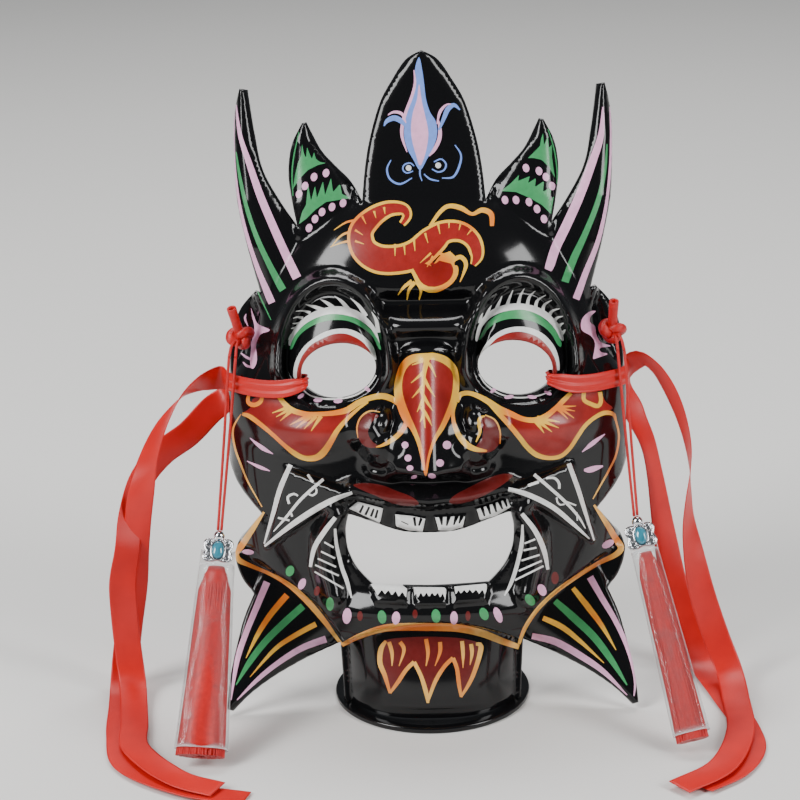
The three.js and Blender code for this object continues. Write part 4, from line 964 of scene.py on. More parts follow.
    ("dark", "fill", (), ((361, 420), (366, 414), (373, 413), (379, 416), (372, 422), (368, 432),
     (372, 441), (378, 446), (372, 448), (363, 445), (358, 436), (358, 427))),
    ("gold", "line", (0.8, 1.6, 1.8, 1.6, 0.8), ((358, 438), (357, 427), (361, 417), (370, 411),
     (380, 412))),
    ("yellow", "line", (5, 5, 4.5, 3, 1), ((407, 422), (401, 432), (392, 440), (383, 445), (376, 447))),
    # Right cheek.
    ("red", "fill", (), ((502, 414), (511, 416), (521, 420), (534, 421), (546, 419), (556, 409),
     (566, 400), (571, 393), (583, 392), (599, 392), (606, 402), (613, 408), (604, 412), (594, 417),
     (585, 425), (578, 435), (570, 447), (561, 455), (549, 457), (537, 454), (528, 447), (520, 436),
     (511, 424))),
    ("yellow", "line", (4, 5, 4.5, 5, 6, 7, 6, 5, 5.5, 5.5, 5, 5, 4), ((457, 402), (460, 395), (468, 393),
     (478, 396), (489, 402), (499, 409), (511, 414), (523, 419), (535, 420), (546, 416), (556, 408),
     (564, 400), (571, 393))),
    ("yellow", "line", (4, 5, 5, 5, 5, 5, 5, 4, 4, 4, 4, 4, 4, 4.5, 4, 2), ((485, 398), (494, 408),
     (502, 417), (511, 427), (520, 438), (528, 448), (537, 455), (549, 458), (561, 456), (570, 448),
     (578, 436), (585, 426), (594, 418), (604, 413), (613, 414), (616, 421))),
    ("yellow", "line", (4, 4, 4.5, 4, 4), ((584, 392), (584, 400), (591, 404), (598, 406), (601, 401),
     (600, 392))),
    ("yellow", "lines", (3.5, 0.6), (((559, 407), (576, 406)), ((559, 408), (575, 411)), ((560, 408),
     (574, 418)), ((558, 409), (568, 419)))),
    ("yellow", "lines", (5, 0.6), (((537, 418), (560, 422)), ((538, 419), (559, 428)), ((537, 420),
     (552, 432)), ((536, 421), (544, 433)))),
    ("pink", "line", (0.8, 4.4, 0.8), ((582, 452), (593, 443), (605, 434))),
    ("pink", "line", (2, 5.5, 5, 1.5), ((584, 470), (589, 470), (596, 468), (603, 466))),
    ("gold", "line", (2, 2, 2, 2, 1.5, 1), ((616, 421), (619, 436), (616, 455), (608, 472), (599, 488),
     (593, 499))),
    ("dark", "fill", (), ((484, 416), (494, 420), (499, 431), (500, 441), (494, 450), (484, 453),
     (473, 451), (477, 445), (482, 438), (483, 429), (480, 424), (482, 418))),
    ("yellow", "line", (1, 3, 3.5, 3, 1), ((476, 442), (480, 432), (479, 424), (480, 418), (485, 416))),
    ("gold", "line", (1, 1.6, 1.6, 1), ((485, 415), (495, 420), (500, 431), (500, 444))),
    ("yellow", "line", (3, 3.5, 4, 5, 6, 5, 2), ((456, 402), (453, 412), (454, 423), (458, 434),
     (466, 444), (475, 449), (487, 451))),
    # The leaf down the nose.
    ("yellow", "fill", (), ((428, 353), (411, 355), (401, 363), (396, 376), (394, 390), (396, 403),
     (402, 419), (410, 429), (416, 441), (420, 455), (423, 468), (425, 476), (427, 474), (430, 457),
     (436, 441), (444, 429), (450, 417), (456, 403), (459, 390), (459, 377), (456, 366), (447, 357),
     (435, 353))),
    ("red", "fill", (), ((425, 360), (411, 364), (404, 374), (402, 388), (405, 402), (410, 415),
     (416, 429), (421, 443), (424, 457), (426, 472), (426, 467), (428, 455), (433, 439), (440, 426),
     (446, 412), (451, 398), (453, 384), (452, 372), (444, 364), (434, 360))),
    ("yellow", "line", (5, 5, 4, 3, 2.5, 2, 1), ((428, 355), (426, 364), (424, 374), (423, 388),
     (423, 405), (424, 419), (425, 428))),
    ("yellow", "lines", (4, 0.6), (((425, 360), (412, 365)), ((424, 372), (411, 383)), ((423, 386),
     (412, 398)), ((423, 400), (417, 412)), ((424, 414), (420, 422)))),
    ("yellow", "lines", (3.5, 3, 0.6), (((423, 360), (430, 365), (436, 377)), ((422, 374), (428, 386),
     (435, 397)), ((421, 391), (427, 402), (433, 411)), ((421, 407), (427, 416), (432, 426)))),
    ("pink", "dots", (3.5, 3.5, 0), ((405, 445), (408, 458))),
    ("pink", "dots", (3.4, 2.8, 0), ((410, 468),)),
    ("pink", "dots", (3.2, 1.8, -20), ((414, 477),)),
    ("pink", "dots", (4.3, 4.3, 0), ((447, 445),)),
    ("pink", "dots", (4, 3.8, 0), ((440, 463),)),
    ("pink", "dots", (4, 2.6, 10), ((432, 476),)),
    # Lips.
    ("dark", "fill", (), ((353, 485), (364, 483), (381, 485), (397, 491), (412, 497), (419, 504),
     (408, 506), (392, 503), (376, 496), (362, 490))),
    ("dark", "fill", (), ((513, 475), (502, 474), (486, 479), (470, 487), (455, 495), (449, 502),
     (457, 504), (471, 501), (489, 493), (505, 483))),
    # Upper teeth.
    ("white", "flat", (), ((349, 508.6), (357.7, 501.6), (383.2, 508.3), (380, 522.9))),
    ("black", "lines", (2.6, 2), (((359.7, 512.7), (363.4, 505.4)), ((365.3, 515), (369.3, 507)),
     ((370.9, 516.6), (373.9, 508.7)), ((375.5, 518.2), (377.7, 509.9)))),
    ("white", "flat", (), ((395.3, 514.3), (413.1, 516.2), (425.3, 518.8), (422.7, 531.5), (408.4, 530.4),
     (395.9, 526.3))),
    ("black", "lines", (3, 2), (((414.1, 517.2), (415.4, 526.1)), ((421.4, 518.2), (418.9, 525.8)))),
    ("black", "line", (1, 1), ((401.2, 521.3), (408.4, 524.5))),
    ("white", "flat", (), ((435.2, 517.5), (465.2, 515.9), (462.8, 526.9), (450.5, 530.9), (438.6, 530.3))),
    ("black", "lines", (4.5, 1.5), (((440.9, 516.2), (441.9, 525)), ((448.9, 515.9), (446.7, 525.8)),
     ((456.9, 515.6), (453.7, 525)), ((462, 515.6), (459.1, 523.4)))),
    ("white", "flat", (), ((476.7, 509.2), (507.9, 498.7), (510.9, 507), (495.2, 516.2), (480, 520.1))),
    ("black", "lines", (3.6, 1.8), (((481.8, 506.7), (484.6, 516.2)), ((487.8, 505.4), (490.4, 514.3)),
     ((493.9, 503.2), (496.4, 512.1)), ((499.3, 501.2), (502.5, 509.2)), ((504.4, 499.3), (507, 506.7)))),
    # Lower teeth.
    ("white", "flat", (), ((370.6, 584.3), (402, 585.4), (407.1, 588.8), (406.1, 597.9), (402.3, 591.5),
     (398.8, 597.1), (395.6, 590.7), (391.8, 595.5), (388.6, 589.9), (384.8, 594.4), (382, 589.6),
     (377.4, 595.5), (374.1, 589.1))),
    ("white", "flat", (), ((413.5, 587.2), (444.1, 587.5), (446.4, 589.6), (445.4, 599.5), (442.5, 593.1),
     (440.3, 597.9), (437.8, 592.3), (434.7, 596.3), (432.2, 592.3), (429.1, 597.1), (426.6, 592.3),
     (423.4, 597.1), (420.9, 592.3), (417.8, 597.9), (416.1, 592.8), (414.5, 596))),
    ("white", "flat", (), ((454.3, 586.7), (486.5, 583.8), (486.9, 588.3), (484.8, 594.7), (482.4, 589.3),
     (479.2, 593.9), (476, 589.3), (472.8, 593.1), (469.6, 589.3), (466.8, 593.1), (464.1, 589.6),
     (460.9, 593.9), (458.5, 589.9), (455.6, 594.7))),
    # Tusks.
    ("white", "line", (4, 5, 4.6, 3), ((335.3, 517.5), (323.9, 532.2), (314.3, 548.1), (310.3, 566.9))),
    ("white", "line", (2.5, 3.5, 4, 4, 1.4), ((335, 528.7), (336.6, 544.9), (341.4, 565.7), (347, 581.6),
     (351.6, 597.9))),
    ("white", "lines", (1.6, 1.8), (((324.3, 542.2), (333.7, 547.5)), ((321, 551.5), (335, 558.3)),
     ((317.8, 558.6), (336, 566.9)), ((315.2, 565), (338.8, 575.7)), ((314.6, 571.7), (343.6, 588.5)))),
    ("white", "line", (4, 5, 5, 3), ((521.9, 513.8), (535, 530.6), (543.8, 549.7), (547.9, 569.5))),
    ("white", "line", (2, 4, 4, 3.4, 1), ((522.6, 524.7), (521.5, 544.9), (515.9, 568.9), (510.3, 584.8),
     (504.4, 595.6))),
    ("white", "lines", (1.8, 1.8), (((524.5, 543.5), (535.2, 539.2)), ((523.5, 550.4), (536.3, 547.6)),
     ((521.6, 560.6), (539.6, 554.8)), ((518.8, 570.9), (541.9, 560.7)), ((514.9, 580.2), (543.5, 566)))),
    # Fang plates.
    ("white", "line", (4.5, 5, 4, 1.4), ((290.5, 464.7), (280, 489.1), (272.8, 514.6), (264.1, 543.7))),
    ("white", "line", (3, 5.5, 5.5, 2), ((352.1, 492.8), (328.6, 501.9), (296.7, 521.3), (264.5, 546.2))),
    ("white", "line", (3, 3, 2.6, 1), ((323.4, 479.2), (301.5, 498.7), (285.6, 517.8), (273.5, 531.5))),
    ("white", "line", (2.4, 2.6), ((307.6, 474.5), (313, 482.3))),
    ("white", "line", (1.6, 2.2, 1.8), ((315.9, 488.2), (316.5, 492.3), (312.4, 495.5), (308.5, 493.9))),
    ("white", "line", (1.6, 2.6, 2.4), ((298, 495.8), (293.6, 493.9), (287.8, 497.1), (289.1, 503.8))),
    ("white", "lines", (2, 2), (((277.9, 517.8), (289.4, 520.4)), ((290.1, 511.1), (292.3, 516.6)))),
    ("white", "line", (4.5, 4.6, 3.6, 1.4), ((568.8, 463.5), (578.1, 489.1), (586, 514.6), (594.2, 540.5))),
    ("white", "line", (4, 5, 5, 4, 1.4), ((508.4, 489.1), (528.6, 494.9), (552.6, 507), (571.7, 522.6),
     (589.5, 538.9))),
    ("white", "line", (3.4, 3.2, 3, 2.4, 1), ((534.1, 474.5), (549.4, 487.5), (565.3, 501.9),
     (578.1, 516.2), (585.4, 528.4))),
    ("white", "line", (2.8, 3), ((528, 485.6), (538.8, 481.8))),
    ("white", "line", (2, 2.8, 2.4), ((545.9, 478.3), (554.1, 478), (558.9, 482.8), (559.2, 488.8))),
    ("white", "line", (1.8, 1.8, 1.4), ((556.7, 497.4), (557.3, 501.9), (560.2, 504.8), (564.7, 504.1))),
    ("white", "line", (1.6, 1.6), ((565.3, 501.2), (576.1, 505.4))),
    ("white", "line", (1.6, 1.2), ((576.8, 512.4), (577.4, 520.7))),
    # Gold edge of the jaw.
    ("gold", "line", (2, 5, 6.4, 6.4, 5.6, 4.4, 3.6, 5, 6, 5.6, 4, 3), ((264, 512), (254, 527),
     (242, 545), (236, 553), (239, 560), (249, 565), (270, 574), (289, 585), (305, 599), (321, 617),
     (333, 633), (342, 645))),
    ("gold", "line", (2, 5, 6.4, 6.4, 5.4, 4.2, 4, 4, 4, 4, 3), ((594, 505), (605, 521), (616, 539),
     (621, 548), (615, 555), (597, 564), (572, 580), (553, 594), (537, 610), (525, 628), (519, 644))),
    ("gold", "line", (4, 5.4, 7, 7.6, 7.8, 7.8, 7.4, 6.6, 5), ((342, 645), (360, 636), (381, 629),
     (400, 627), (428, 627), (457, 628), (481, 633), (502, 641), (519, 647))),
    # Dots of the jaw.
    ("green", "dots", (4.2, 5.6, 20), ((290, 571),)),
    ("pink", "dots", (3.5, 6, 25), ((302, 584),)),
    ("dark", "dots", (3, 5, 15), ((317, 591),)),
    ("green", "dots", (4, 6.8, 0), ((330, 604),)),
    ("pink", "dots", (4.5, 8, 5), ((347, 616),)),
    ("dark", "dots", (2.8, 5, 0), ((360, 616),)),
    ("green", "dots", (4.4, 6.8, -8), ((382, 617),)),
    ("pink", "dots", (4.2, 6.6, 5), ((396, 618),)),
    ("dark", "dots", (2.6, 4.5, 0), ((415, 614),)),
    ("green", "dots", (4.6, 7, -5), ((436, 616),)),
    ("pink", "dots", (3.8, 6.8, 0), ((454, 618),)),
    ("dark", "dots", (2.6, 5, 0), ((468, 616),)),
    ("green", "dots", (4.4, 6.6, -22), ((484, 614),)),
    ("pink", "dots", (3.8, 8.2, -22), ((498, 615),)),
    ("green", "dots", (4.4, 6.4, -38), ((530, 600),)),
    ("pink", "dots", (4.2, 6.2, -25), ((542, 590),)),
    ("dark", "dots", (3.8, 6.4, 0), ((555, 578),)),
    ("pink", "dots", (6, 2.6, 5), ((248, 552),)),
    ("pink", "dots", (6.6, 3.6, -28), ((608, 544),)),
    # Stripes of the side fins.
    ("pink", "line", (7, 6.4, 5.6, 5, 0.8), ((267, 582), (257, 606), (246, 633), (237, 661), (231, 700))),
    ("yellow", "line", (6.4, 6, 4.6, 0.8), ((287, 595), (271, 614), (258, 634), (246, 658))),
    ("green", "line", (7, 7.2, 6.8, 5.6, 1), ((303, 606), (284, 623), (265, 642), (249, 663), (236, 685))),
    ("yellow", "line", (5.4, 5, 4, 0.6), ((316, 624), (294, 636), (274, 650), (250, 677))),
    ("pink", "line", (7, 6.2, 5.2, 4, 1), ((326, 639), (302, 648), (278, 663), (257, 680), (237, 700))),
    ("pink", "line", (7, 6, 5, 4.4, 3, 1), ((590, 577), (602, 598), (616, 622), (628, 649), (635, 677),
     (634, 696))),
    ("yellow", "line", (4.6, 6, 4.6, 0.8), ((573, 588), (588, 607), (602, 626), (616, 650))),
    ("green", "line", (6, 7.8, 7.6, 6, 1.4), ((555, 601), (573, 617), (594, 637), (612, 661), (627, 685))),
    ("yellow", "line", (5, 5.6, 4.2, 0.8), ((543, 618), (562, 627), (581, 642), (604, 663))),
    ("pink", "line", (6, 7, 6.6, 5, 1), ((532, 636), (556, 642), (581, 656), (604, 672), (627, 695))),
    # Leaves on the chin.
    ("dark", "fill", (), ((386, 640), (381, 649), (380, 663), (385, 676), (390, 692), (397, 681),
     (406, 669), (414, 662), (421, 676), (426, 692), (428, 702), (429, 696), (435, 681), (444, 666),
     (453, 658), (457, 669), (459, 684), (461, 696), (470, 680), (478, 661), (480, 645), (465, 639),
     (441, 637), (415, 637))),
    ("gold", "line", (3, 5, 5, 4.4, 2.6), ((386, 641), (381, 649), (380, 663), (385, 676), (390, 693))),
    ("gold", "line", (2.6, 4, 4, 4), ((390, 693), (398, 682), (406, 670), (414, 662))),
    ("gold", "line", (4, 4, 4.4, 2.6), ((414, 662), (421, 676), (426, 692), (428, 703))),
    ("gold", "line", (2.6, 4, 4, 4), ((428, 701), (435, 682), (444, 667), (453, 658))),
    ("gold", "line", (4, 4, 4, 2.4), ((453, 658), (457, 669), (459, 684), (461, 697))),
    ("gold", "line", (2.4, 4, 4.6, 5, 3), ((461, 697), (471, 680), (478, 661), (481, 646), (476, 644))),
    ("gold", "lines", (4, 3.6, 0.8), (((389, 642), (392, 653), (392, 666)), ((400, 642), (404, 650),
     (399, 666)), ((426, 639), (428, 653), (426, 666)), ((440, 642), (440, 652), (435, 666)), ((462, 641),
     (463, 653), (463, 668)), ((471, 644), (472, 653), (470, 665)))),
)


def line_loop(points, widths):
    """The outline of a brush stroke along points, with a width at each of them."""
    p = np.asarray(points, float)
    given = np.interp(np.linspace(0, 1, len(p)), np.linspace(0, 1, len(widths)), widths)
    path = spline(np.column_stack([p, given]), PAINT_STEP)
    ahead = unit(np.gradient(path[:, :2], axis=0))
    side = np.stack([ahead[:, 1], -ahead[:, 0]], 1) * path[:, 2:] / 2
    return np.vstack([path[:, :2] + side, (path[:, :2] - side)[::-1]])


def dot_loop(place, across, up, turn):
    """The outline of an oval dot."""
    a = np.linspace(0, 2 * math.pi, 12, endpoint=False)
    x, y, t = across * np.cos(a), up * np.sin(a), math.radians(turn)
    return np.stack([place[0] + x * math.cos(t) - y * math.sin(t),
                     place[1] + x * math.sin(t) + y * math.cos(t)], 1)


def painted_loops():
    """Every painted area as a finish and its outline in the photograph's pixels."""
    for name, kind, sizes, points in STROKES:
        finish = "lacquer_black" if name == "black" else f"paint_{name}"
        if kind == "line":
            yield finish, line_loop(points, sizes)
        elif kind == "lines":
            yield from ((finish, line_loop(line, sizes)) for line in points)
        elif kind == "fill":
            yield finish, spline(points, PAINT_STEP, closed=True)
        elif kind == "flat":
            yield finish, even(points + points[:1], PAINT_STEP)[:-1]
        else:
            yield from ((finish, dot_loop(place, *sizes)) for place in points)


class MASK_OT_face(bpy.types.Operator):
    """Model the mask's shell with its painted front"""

    bl_idname = "tribal_mask.face"
    bl_label = "Mask"

    def execute(self, context):
        relief = Relief.shared()
        sizes = context.scene.mask_sizes
        paints = [(name, pixels_to_mask(relief, loop)) for name, loop in painted_loops()]
        names = ["lacquer_black"] + list(PAINTS)
        obj = mask_shell(relief, paints, names, sizes.mesh_step / MM)
        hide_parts("mask")
        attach(obj, "root")
        return {"FINISHED"}


def chin_foot(relief, x):
    """Where the chin's front meets the level of the stand, as v at each x."""
    v = np.full(len(x), CHIN_FOOT["guess"])
    for _ in range(CHIN_FOOT["passes"]):
        v = 0.5 * v - 0.5 * relief.at(relief.front, x, v) * math.tan(LEAN)
    return v


def triangulate(points, edges):
    """Triangles over points that keep the given edges, and which input point each result point is."""
    out = delaunay_2d_cdt([Vector(p) for p in points], edges, [], 0, 1e-4, True)
    found = np.array([tuple(p) for p in out[0]])
    return found, np.array(out[2]), out[3]


def staggered(relief, step, blocked, wanted=None):
    """Points on a staggered grid inside the mask, away from the blocked points."""
    rows = np.arange(relief.LOW[1], relief.HIGH[1], step * math.sin(math.pi / 3))
    parts = []
    for k, v in enumerate(rows):
        x = np.arange(relief.LOW[0], relief.HIGH[0], step) + (step / 2 if k % 2 else 0)
        parts.append(np.stack([x, np.full(len(x), v)], 1))
    p = np.vstack(parts)
    if wanted:
        p = p[wanted(p)]
    p = p[relief.inside(p[:, 0], p[:, 1])]
    cell = step * 0.5
    taken = {(math.floor(x / cell) + i, math.floor(v / cell) + j)
             for x, v in blocked for i in (-1, 0, 1) for j in (-1, 0, 1)}
    keep = [(math.floor(x / cell), math.floor(v / cell)) not in taken for x, v in p]
    return p[np.array(keep)]


def counter_clockwise(p, tris):
    a, b, c = p[tris[:, 0]], p[tris[:, 1]], p[tris[:, 2]]
    area = (b[:, 0] - a[:, 0]) * (c[:, 1] - a[:, 1]) - (c[:, 0] - a[:, 0]) * (b[:, 1] - a[:, 1])
    tris = tris[np.abs(area) > 1e-7]
    area = area[np.abs(area) > 1e-7]
    tris[area < 0] = tris[area < 0][:, ::-1]
    return tris


def open_edges(tris):
    """Directed edges that only one triangle has."""
    pairs = np.vstack([tris[:, [0, 1]], tris[:, [1, 2]], tris[:, [2, 0]]])
    seen = {}
    for a, b in pairs.tolist():
        if (b, a) in seen:
            del seen[(b, a)]
        else:
            seen[(a, b)] = True
    return list(seen)


def in_fine_area(p):
    return np.hypot(p[:, 0] / FINE_AREA["half"], (p[:, 1] - FINE_AREA["v"]) / FINE_AREA["tall"]) < 1


def mask_shell(relief, paints, names, step):
    """The closed shell: painted front, plain back and a rounded rim between them."""
    side = relief.edge
    chin_x = CHIN_FOOT["half"] * np.sin(np.linspace(math.pi / 2, -math.pi / 2, CHIN_FOOT["points"]))
    foot = np.stack([chin_x, chin_foot(relief, chin_x)], 1)
    upper = [p for p in side if p[1] > CHIN_FOOT["below"] or abs(p[0]) > CHIN_FOOT["beside"]]
    right = [p for p in upper if p[0] >= 0]
    left = [p for p in upper if p[0] < 0]
    outline = right + [tuple(p) for p in foot] + left
    relief.edge = outline
    loops = [outline] + relief.holes
    points, edges = [], []

    def add_loop(loop):
        start = len(points)
        points.extend(tuple(map(float, p)) for p in loop)
        edges.extend((start + i, start + (i + 1) % len(loop)) for i in range(len(loop)))

    for loop in loops + [loop for _, loop in paints]:
        add_loop(loop)
    samples, outs = rim_samples([np.array(loop) for loop in loops])
    tree = KDTree(len(samples))
    for i, p in enumerate(samples):
        tree.insert((p[0], p[1], 0), i)
    tree.balance()
    for share in RIM_SHARES:
        inset = samples[::RIM_EVERY] - outs[::RIM_EVERY] * RIM_ROUND * share
        inset = inset[relief.inside(inset[:, 0], inset[:, 1])]
        points.extend(map(tuple, inset[:: 1 if share < 1 else 2]))
    plate = tuple(corner[:2] for corner in PLATE)
    other_plate = tuple((-x, v) for x, v in plate)
    for corners in TEETH + (plate, other_plate):
        middle = np.mean(corners, 0)
        spread = PLATE_RING if len(corners) == len(plate) else TOOTH_RING
        for share in (1 - spread, 1 + spread):
            ring = even([middle + (np.array(c) - middle) * share for c in corners + corners[:1]], FINE_STEP)
            points.extend(tuple(p) for p in ring[relief.inside(ring[:, 0], ring[:, 1])])
    points.extend(map(tuple, staggered(relief, FINE_STEP, points, in_fine_area)))
    points.extend(map(tuple, staggered(relief, step, points)))
    flat, tris, _ = triangulate(points, edges)
    tris = counter_clockwise(flat, tris)
    middle = flat[tris].mean(1)
    tris = tris[relief.inside(middle[:, 0], middle[:, 1])]
    used, tris = np.unique(tris, return_inverse=True)
    tris = tris.reshape(-1, 3)
    flat = flat[used]
    middle = flat[tris].mean(1)
    label = np.zeros(len(tris), int)
    for name, loop in paints:
        low, high = loop.min(0), loop.max(0)
        near = np.flatnonzero(np.all((middle >= low) & (middle <= high), 1))
        hit = near[winding(loop, middle[near, 0], middle[near, 1]) != 0]
        label[hit] = names.index(name)

    owner = {}
    for (a, b, c), paint in zip(tris.tolist(), label.tolist()):
        owner[a, b] = owner[b, c] = owner[c, a] = paint
    rim_edges = open_edges(tris)
    rim = sorted({i for e in rim_edges for i in e})
    place = {v: k for k, v in enumerate(rim)}
    inner = staggered(relief, BACK_STEP, [tuple(flat[i]) for i in rim])
    back_in = [tuple(flat[i]) for i in rim] + [tuple(p) for p in inner]
    back, back_tris, source = triangulate(back_in, [(place[a], place[b]) for a, b in rim_edges])
    back_tris = counter_clockwise(back, back_tris)
    middle = back[back_tris].mean(1)
    back_tris = back_tris[relief.inside(middle[:, 0], middle[:, 1])]
    home = {s: i for i, group in enumerate(source) for s in group}

    count = len(flat)
    near = [tree.find((p[0], p[1], 0)) for p in flat]
    gap = np.array([n[2] for n in near])
    out = outs[[n[1] for n in near]]
    up = np.sqrt(np.clip(RIM_ROUND**2 - np.clip(RIM_ROUND - gap, 0, None) ** 2, 0, None)) / RIM_ROUND
    lean_out = np.clip(1 - gap / RIM_ROUND, 0, 1)
    front_depth = relief.at(relief.front, flat[:, 0], flat[:, 1]) - RIM_ROUND * (1 - up)
    normal = relief.normals(relief.front, flat[:, 0], flat[:, 1])
    flat_out = np.concatenate([out, np.zeros((count, 1))], 1)
    normal = turn_to_mask(unit(normal * up[:, None] + flat_out * lean_out[:, None]))
    back_depth = relief.at(relief.back, back[:, 0], back[:, 1])
    back_v = back[:, 1].copy()
    level = back[:, 1] + relief.at(relief.front, back[:, 0], back[:, 1]) * math.tan(LEAN)
    at_foot = (np.abs(level) < CHIN_FOOT["near"]) & (np.abs(back[:, 0]) < CHIN_FOOT["half"] + 0.1)
    back_v[at_foot] = -back_depth[at_foot] * math.tan(LEAN)
    back_normal = -turn_to_mask(relief.normals(relief.back, back[:, 0], back[:, 1]))
    verts = np.vstack([on_mask(flat[:, 0], flat[:, 1], front_depth), on_mask(back[:, 0], back_v, back_depth)])
    over_stand = np.abs(verts[:, 0]) < CHIN["half"] + 0.5
    verts[:, 2] = np.maximum(verts[:, 2], np.where(over_stand, STAND_HEIGHT + CLEARANCE, 0))

    outs_world = turn_to_mask(flat_out)
    faces = tris.tolist()
    loops_n = normal[tris].reshape(-1, 3)
    material = label.tolist()
    back_faces = back_tris[:, ::-1] + count
    faces += back_faces.tolist()
    loops_n = np.vstack([loops_n, back_normal[back_faces.ravel() - count]])
    material += [0] * len(back_faces)
    wall_n = []
    for m, n in rim_edges:
        faces.append([n, m, home[place[m]] + count, home[place[n]] + count])
        material.append(owner[m, n])
        wall_n += [outs_world[n], outs_world[m], outs_world[m], outs_world[n]]
    loops_n = np.vstack([loops_n, np.array(wall_n)])
    obj = new_object("lacquer_mask", verts, faces, [look(n) for n in names], indices=material, merge=False)
    obj.data.normals_split_custom_set(loops_n.tolist())
    return obj


def rim_samples(loops):
    """Close points along the rims with their outward directions, the chin's foot left out."""
    points, outs = [], []
    for k, loop in enumerate(loops):
        fine = even(np.vstack([loop, loop[:1]]), RIM_SAMPLE)[:-1]
        ahead = unit(np.roll(fine, -2, 0) - np.roll(fine, 2, 0))
        turned = np.stack([ahead[:, 1], -ahead[:, 0]], 1)
        area = np.sum(fine[:, 0] * np.roll(fine[:, 1], -1) - np.roll(fine[:, 0], -1) * fine[:, 1])
        sign = (1 if area > 0 else -1) * (1 if k == 0 else -1)
        keep = np.ones(len(fine), bool)
        if k == 0:
            keep = ~((np.abs(fine[:, 0]) < CHIN_FOOT["half"] - 0.1) & (fine[:, 1] < CHIN_FOOT["below"] + 1))
        points.append(fine[keep])
        outs.append(turned[keep] * sign)
    return np.vstack(points), np.vstack(outs)


class MASK_OT_stand(bpy.types.Operator):
    """Turn the round stand"""

    bl_idname = "tribal_mask.stand"
    bl_label = "Stand"

    def execute(self, context):
        r, h, b = STAND["radius"], STAND_HEIGHT, STAND["round"]
        turn = [math.radians(a) for a in (0, 22, 45, 68, 90)]
        low = [(r - b + b * math.sin(a), b - b * math.cos(a)) for a in turn]
        high = [(r - b + b * math.cos(a), h - b + b * math.sin(a)) for a in turn]
        rim, dip = r - STAND["rim"], h - STAND["dip"]
        profile = ([(0, 0), (STAND["middle"], 0), (rim, 0)] + low + high
                   + [(rim, h), (rim - 1, dip), (STAND["middle"], dip), (0, h)])
        obj = lathe("stand_disc", profile, STAND["sides"], [look("lacquer_black")])
        outward(obj)
        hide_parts("stand")
        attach(obj, "root")
        return {"FINISHED"}


# Ribbons.
def ribbon_line(relief, side, front, back):
    """Stops of one ribbon: middle, width direction, half width and how gathered it is."""
    upright = turn_to_mask(np.array([0.0, 1, 0]))
    stops = [(np.array(p[:3], float), np.array(p[3:], float), RIBBON["half"], 0.0) for p in front[::-1]]
    rim = OVER_CHEEK[-1]

    def against(place, depth):
        free = place[0] > rim[0]
        half = RIBBON["over_cheek" if free else "through_eye"]
        stops.append((on_mask(side * place[0], place[1], depth), upright, half, 0.4 if free else 1.0))

    def clear_of(grid, x, v, way):
        reach = RIBBON["over_cheek"] * (2 if x > rim[0] else 0.6)
        heights = [way * float(relief.at(grid, x + out * RIBBON["near"], v + share * reach))
                   for share in (-1, -0.5, 0, 0.5, 1) for out in (0, -1, 1)]
        return way * (max(heights) + RIBBON["lift"])

    for place in OVER_CHEEK:
        against(place, clear_of(relief.front, *place, 1))
    against(THROUGH_EYE, (float(relief.at(relief.front, *rim)) + float(relief.at(relief.back, *rim))) / 2)
    for place in BEHIND_CHEEK:
        against(place, clear_of(relief.back, *place, -1))
    stops += [(np.array(p[:3], float), np.array(p[3:], float), RIBBON["half"], 0.0) for p in back]
    return stops


